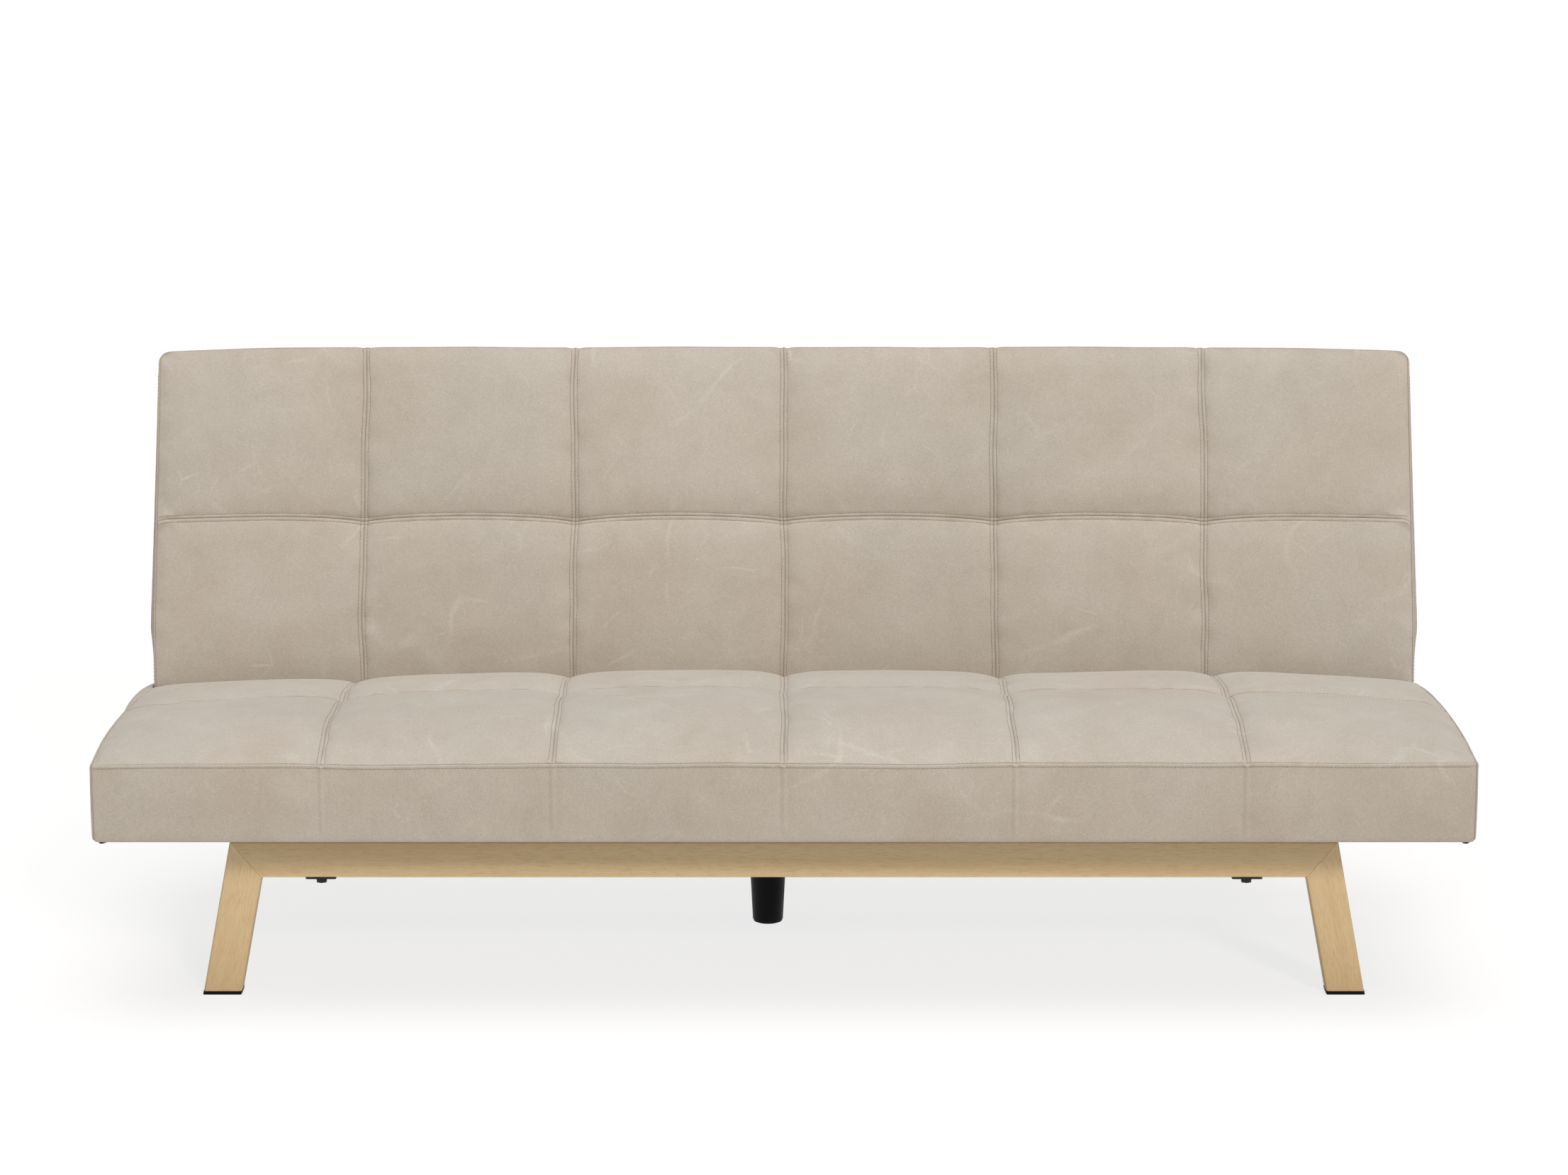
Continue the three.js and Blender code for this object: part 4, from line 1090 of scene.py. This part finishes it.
def stitch_seams(cover, name, body, threads, cross, offset, face_row, side_row, top_row):
    """Double rows along the face's seams, and single rows on the boxing beside its edges."""
    thread = Thread(cover)
    number = 0
    for x in SEAMS:
        for side in (-1, 1):
            line = [(x + side * STITCH_LINE, station) for station in between(*face_row, LINE_STEP)]
            thread.row(line, number * PHASE_SHARE % 1)
            number += 1
    edge = HALF_WIDTH - CORNER * 1.5
    for station in (cross - offset, cross + offset):
        thread.row([(x, station) for x in between(-edge, edge, LINE_STEP)], number * PHASE_SHARE % 1)
        number += 1
    thread.row([(x, top_row) for x in between(-edge, edge, LINE_STEP)], number * PHASE_SHARE % 1)
    for side in (-1, 1):
        x = side * HALF_WIDTH
        thread.row([(x, station) for station in between(*side_row, LINE_STEP)], number * PHASE_SHARE % 1)
        number += 1
    thread.finish(name, body, threads)


# Hinge covers: padded domes at the seat's rear corners


COVER_RINGS = 14
COVER_SIDES = 72
COVER_WALL = 0.005
BACK_CLEARANCE = 0.0014
COVER_SAG = 0.008
COVER_POWER = 0.75
COVER_TIP_SHARE = 0.02
COVER_RIPPLE = 0.0006
COVER_RIPPLE_WAVE = 0.05
COVER_STEP = 0.002


def hinge_cover(word, side, material):
    low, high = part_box(f"hinge_cover_{word}")
    reach = max(abs(low.x), abs(high.x))
    middle = (low + high) / 2
    half_length = (high.y - low.y) / 2
    half_height = (high.z - low.z) / 2
    rim = HALF_WIDTH + FIT
    seat_end = SEAT_FRONT + SEAT_DEPTH

    def inner_edge(y, z):
        """The pad's inner edge: on the seat's side, and clear of all that the turning back sweeps."""
        reach_out = math.hypot(y - PIVOT.y, z - PIVOT.z)
        swept = HALF_WIDTH + back_bulge(reach_out) + back_swell(reach_out) + BACK_CLEARANCE
        share = min(max((y - seat_end + COVER_STEP / 2) / COVER_STEP, 0.0), 1.0)
        return rim + (swept - rim) * share

    def ring(size, x, length, height):
        points = []
        sag = COVER_SAG * (x - rim) / (reach - rim)
        for k in range(COVER_SIDES):
            angle = 2 * math.pi * k / COVER_SIDES
            y = math.copysign(abs(math.cos(angle)) ** COVER_POWER, math.cos(angle)) * length * size
            z = math.copysign(abs(math.sin(angle)) ** COVER_POWER, math.sin(angle)) * height * size - sag
            shift = inner_edge(middle.y + y, middle.z + z)
            ripple = COVER_RIPPLE * wander(middle.y + y, COVER_RIPPLE_WAVE, 4) * (1 - size)
            points.append((side * max(x + ripple, shift), middle.y + y, middle.z + z))
        return points

    def shell(wall):
        rings = []
        for k in range(COVER_RINGS + 1):
            turn = math.pi / 2 * k / COVER_RINGS
            size = max(max(math.cos(turn), 0.0) ** COVER_POWER, COVER_TIP_SHARE)
            x = rim + (reach - wall - rim) * math.sin(turn)
            rings.append(ring(size, x, half_length - wall, half_height - wall))
        return rings

    loops = [*reversed(shell(COVER_WALL)), *shell(0)]
    verts = [point for loop in loops for point in loop]
    faces = tube_walls(0, len(loops), COVER_SIDES)
    faces.append(tuple(range(COVER_SIDES)))
    faces.append(tuple(reversed(range(len(verts) - COVER_SIDES, len(verts)))))
    piece = closed_piece(f"hinge_pad_{word}", verts, faces)
    piece.data.materials.append(material)
    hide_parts(f"hinge_cover_{word}")
    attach(piece, "base")


COARSE_SHARE = 1.4
SEAT_CAP = 0.0055
BACK_CAP = 0.0025
SEAT_ROW = (2.004, 3.2)
SEAT_SIDE_ROW = (2.01, 3.1)
BACK_ROW = (2.004, 2.98)
BACK_SIDE_ROW = (2.03, 2.96)


def sewn_cushion(name, node, body, point, held, shade, station_list, pocket, slot, panel, cap, material):
    """A whole cushion cover in place of its node: filled as cloth once coarse, then drawn fine."""
    move = None
    coarse_columns = grid_columns(COARSE_SEAM, GRID * COARSE_SHARE, pocket, slot)
    coarse_stations = station_list(COARSE_SEAM, COARSE_SEAM[:1], GRID * COARSE_SHARE)
    move = filled_cover(f"{name}_fill", point, held, coarse_columns, coarse_stations, panel, cap)
    columns = grid_columns(NEAR_SEAM, GRID, pocket, slot)
    cover = Cover(name, point, columns, station_list(NEAR_SEAM, NEAR_EDGE, GRID), panel, move)
    cover.shaded(shade)
    cover.smooth()
    cover.piece.data.materials.append(material)
    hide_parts(node)
    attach(cover.piece, body)
    return cover


def build_seat(material, threads):
    cover = sewn_cushion("seat_cover", "seat_cushion", "base", seat_point, seat_held, seat_shade,
                         seat_stations, SEAT_POCKET_HALF, (), seat_side, SEAT_CAP, material)
    stitch_seams(cover, "seat_stitching", "base", threads, 2 + SEAT_CROSS / SEAT_FACE_END,
                 STITCH_LINE / SEAT_FACE_END, SEAT_ROW, SEAT_SIDE_ROW, 2 - STITCH_LINE / SEAT_BOXING)


def build_back(material, threads):
    cover = sewn_cushion("back_cover", "back_cushion", "backrest", back_point, back_held, back_shade,
                         back_stations, BACK_POCKET_HALF, (ARM_LOW - FIT, ARM_HIGH + FIT), back_side,
                         BACK_CAP, material)
    stitch_seams(cover, "back_stitching", "backrest", threads, 3 - BACK_CROSS / BACK_LENGTH,
                 STITCH_LINE / BACK_LENGTH, BACK_ROW, BACK_SIDE_ROW, 2 - STITCH_LINE / BACK_BOXING)


TUCK_SIZE = (0.0055, 0.012, 0.003)
TUCK_PLACE = (0.0125, 0.014)
TUCK_SINK_SHARE = 0.35


def corner_tuck(word, side, material):
    """The gathered end of the dust cover, tucked under a front corner of the seat."""
    work = bmesh.new()
    bmesh.ops.create_icosphere(work, subdivisions=3, radius=1.0)
    for vert in work.verts:
        x, y, z = vert.co
        z = z * 0.6 + 0.25 * wander(math.atan2(y, x) / math.pi, 0.7, 3) * abs(z)
        vert.co = (x * TUCK_SIZE[0], y * TUCK_SIZE[1], z * TUCK_SIZE[2])
    mesh = bpy.data.meshes.new(f"seat_corner_tuck_{word}")
    work.to_mesh(mesh)
    work.free()
    for polygon in mesh.polygons:
        polygon.use_smooth = True
    mesh.materials.append(material)
    sink = TUCK_SIZE[2] * TUCK_SINK_SHARE
    place = Vector((side * (HALF_WIDTH - TUCK_PLACE[0]), SEAT_FRONT + TUCK_PLACE[1], SEAT_BOTTOM - sink))
    mesh.transform(Matrix.Translation(place))
    piece = linked(f"seat_corner_tuck_{word}", mesh)
    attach(piece, "base")


# The frame's own pieces


WELD = 0.00001
CREASE_ANGLE = 32


def dress_frame(cover):
    leg_low, leg_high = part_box("front_leg_right")
    lean = math.atan((leg_high.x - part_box("front_bar")[1].x) / (leg_high.z - leg_low.z))
    by_slot = {"black_steel": black_steel(), "black_plastic": black_plastic(), "zinc_steel": zinc_steel(),
               "felt": felt(), "rear_cloth": fabric("rear_cloth", 0.94), "fabric": cover,
               "oak_finish": oak("oak_bar", 0.0)}
    by_side = {word: oak(f"oak_leg_{word}", math.pi / 2 + side * lean) for word, side in SIDES}
    slots = {row["node"]: row["material_slot"] for row in frame["record"]["subparts"]}
    for name, node in frame["nodes"].items():
        material = by_slot[slots[name]]
        if slots[name] == "oak_finish" and "_leg_" in name:
            material = by_side[name.rsplit("_", 1)[1]]
        if not node.material_slots:
            node.data.materials.append(material)
        for place in node.material_slots:
            place.material = material
        for polygon in node.data.polygons:
            polygon.use_smooth = True
        weld = node.modifiers.new("weld", "WELD")
        weld.merge_threshold = WELD
        split = node.modifiers.new("creases", "EDGE_SPLIT")
        split.split_angle = math.radians(CREASE_ANGLE)


# Stage and light


FLOOR_HALF = 60.0
FLOOR_GLOW = 1.13
GLOW_SHARE = 0.7
WORLD_LIGHT = 0.17


def stage():
    """A pale floor that the camera sees as white, which keeps three tenths of the object's shadow."""
    mesh = bpy.data.meshes.new("floor")
    corners = [(FLOOR_HALF * x, FLOOR_HALF * y, 0) for x, y in ((-1, -1), (1, -1), (1, 1), (-1, 1))]
    mesh.from_pydata(corners, [], [(0, 1, 2, 3)])
    floor = linked("floor", mesh)
    nodes = Nodes("floor")
    nodes.set(Base_Color=(0.8, 0.77, 0.72, 1), Roughness=1.0, Specular_IOR_Level=0.0)
    glow = nodes.add("ShaderNodeEmission")
    glow.inputs["Strength"].default_value = FLOOR_GLOW
    glowing = nodes.math("MULTIPLY", camera_or_mirror(nodes.tree), GLOW_SHARE)
    blend = nodes.add("ShaderNodeMixShader")
    nodes.link(glowing, blend.inputs[0])
    nodes.link(nodes.shader.outputs[0], blend.inputs[1])
    nodes.link(glow.outputs[0], blend.inputs[2])
    nodes.link(blend.outputs[0], nodes.tree.nodes["Material Output"].inputs["Surface"])
    floor.data.materials.append(nodes.material)


def camera_or_mirror(tree):
    path = tree.nodes.new("ShaderNodeLightPath")
    value = path.outputs["Is Camera Ray"]
    for other in ("Is Glossy Ray", "Is Transmission Ray"):
        both = tree.nodes.new("ShaderNodeMath")
        both.operation = "MAXIMUM"
        tree.links.new(value, both.inputs[0])
        tree.links.new(path.outputs[other], both.inputs[1])
        value = both.outputs[0]
    return value


def sun(name, turn, rise, strength, spread, color):
    """A distant lamp: turn 0 shines from the front and grows to the right, rise is its height in degrees."""
    data = bpy.data.lights.new(name, "SUN")
    data.energy = strength
    data.color = color
    data.angle = math.radians(spread)
    light = linked(name, data)
    light.rotation_euler = (math.radians(90 - rise), 0, math.radians(turn))


def lights():
    world = bpy.data.worlds.new("studio")
    scene.world = world
    world.use_nodes = True
    tree = world.node_tree
    background = tree.nodes["Background"]
    background.inputs["Color"].default_value = (1, 1, 1, 1)
    strength = tree.nodes.new("ShaderNodeMapRange")
    strength.inputs["To Min"].default_value = WORLD_LIGHT
    strength.inputs["To Max"].default_value = 1.0
    tree.links.new(camera_or_mirror(tree), strength.inputs["Value"])
    tree.links.new(strength.outputs["Result"], background.inputs["Strength"])
    sun("key", 22, 26, 1.0, 9, (1.0, 0.94, 0.86))
    sun("overhead", 10, 78, 2.33, 50, (0.97, 1.0, 1.05))


cover_fabric = fabric("fabric")
# The needle holes' material is painted shade inside the holes
threads = [plain_thread("thread", THREAD, 0.8), plain_thread("needle_hole_shade", NEEDLE_HOLE_SHADE, 1.0)]
camera()
stage()
lights()
dress_frame(cover_fabric)
build_seat(cover_fabric, threads)
build_back(cover_fabric, threads)
tuck_felt = felt()
for word, side in SIDES:
    hinge_cover(word, side, cover_fabric)
    corner_tuck(word, side, tuck_felt)

scene.view_settings.view_transform = "Standard"
bpy.context.view_layer.update()
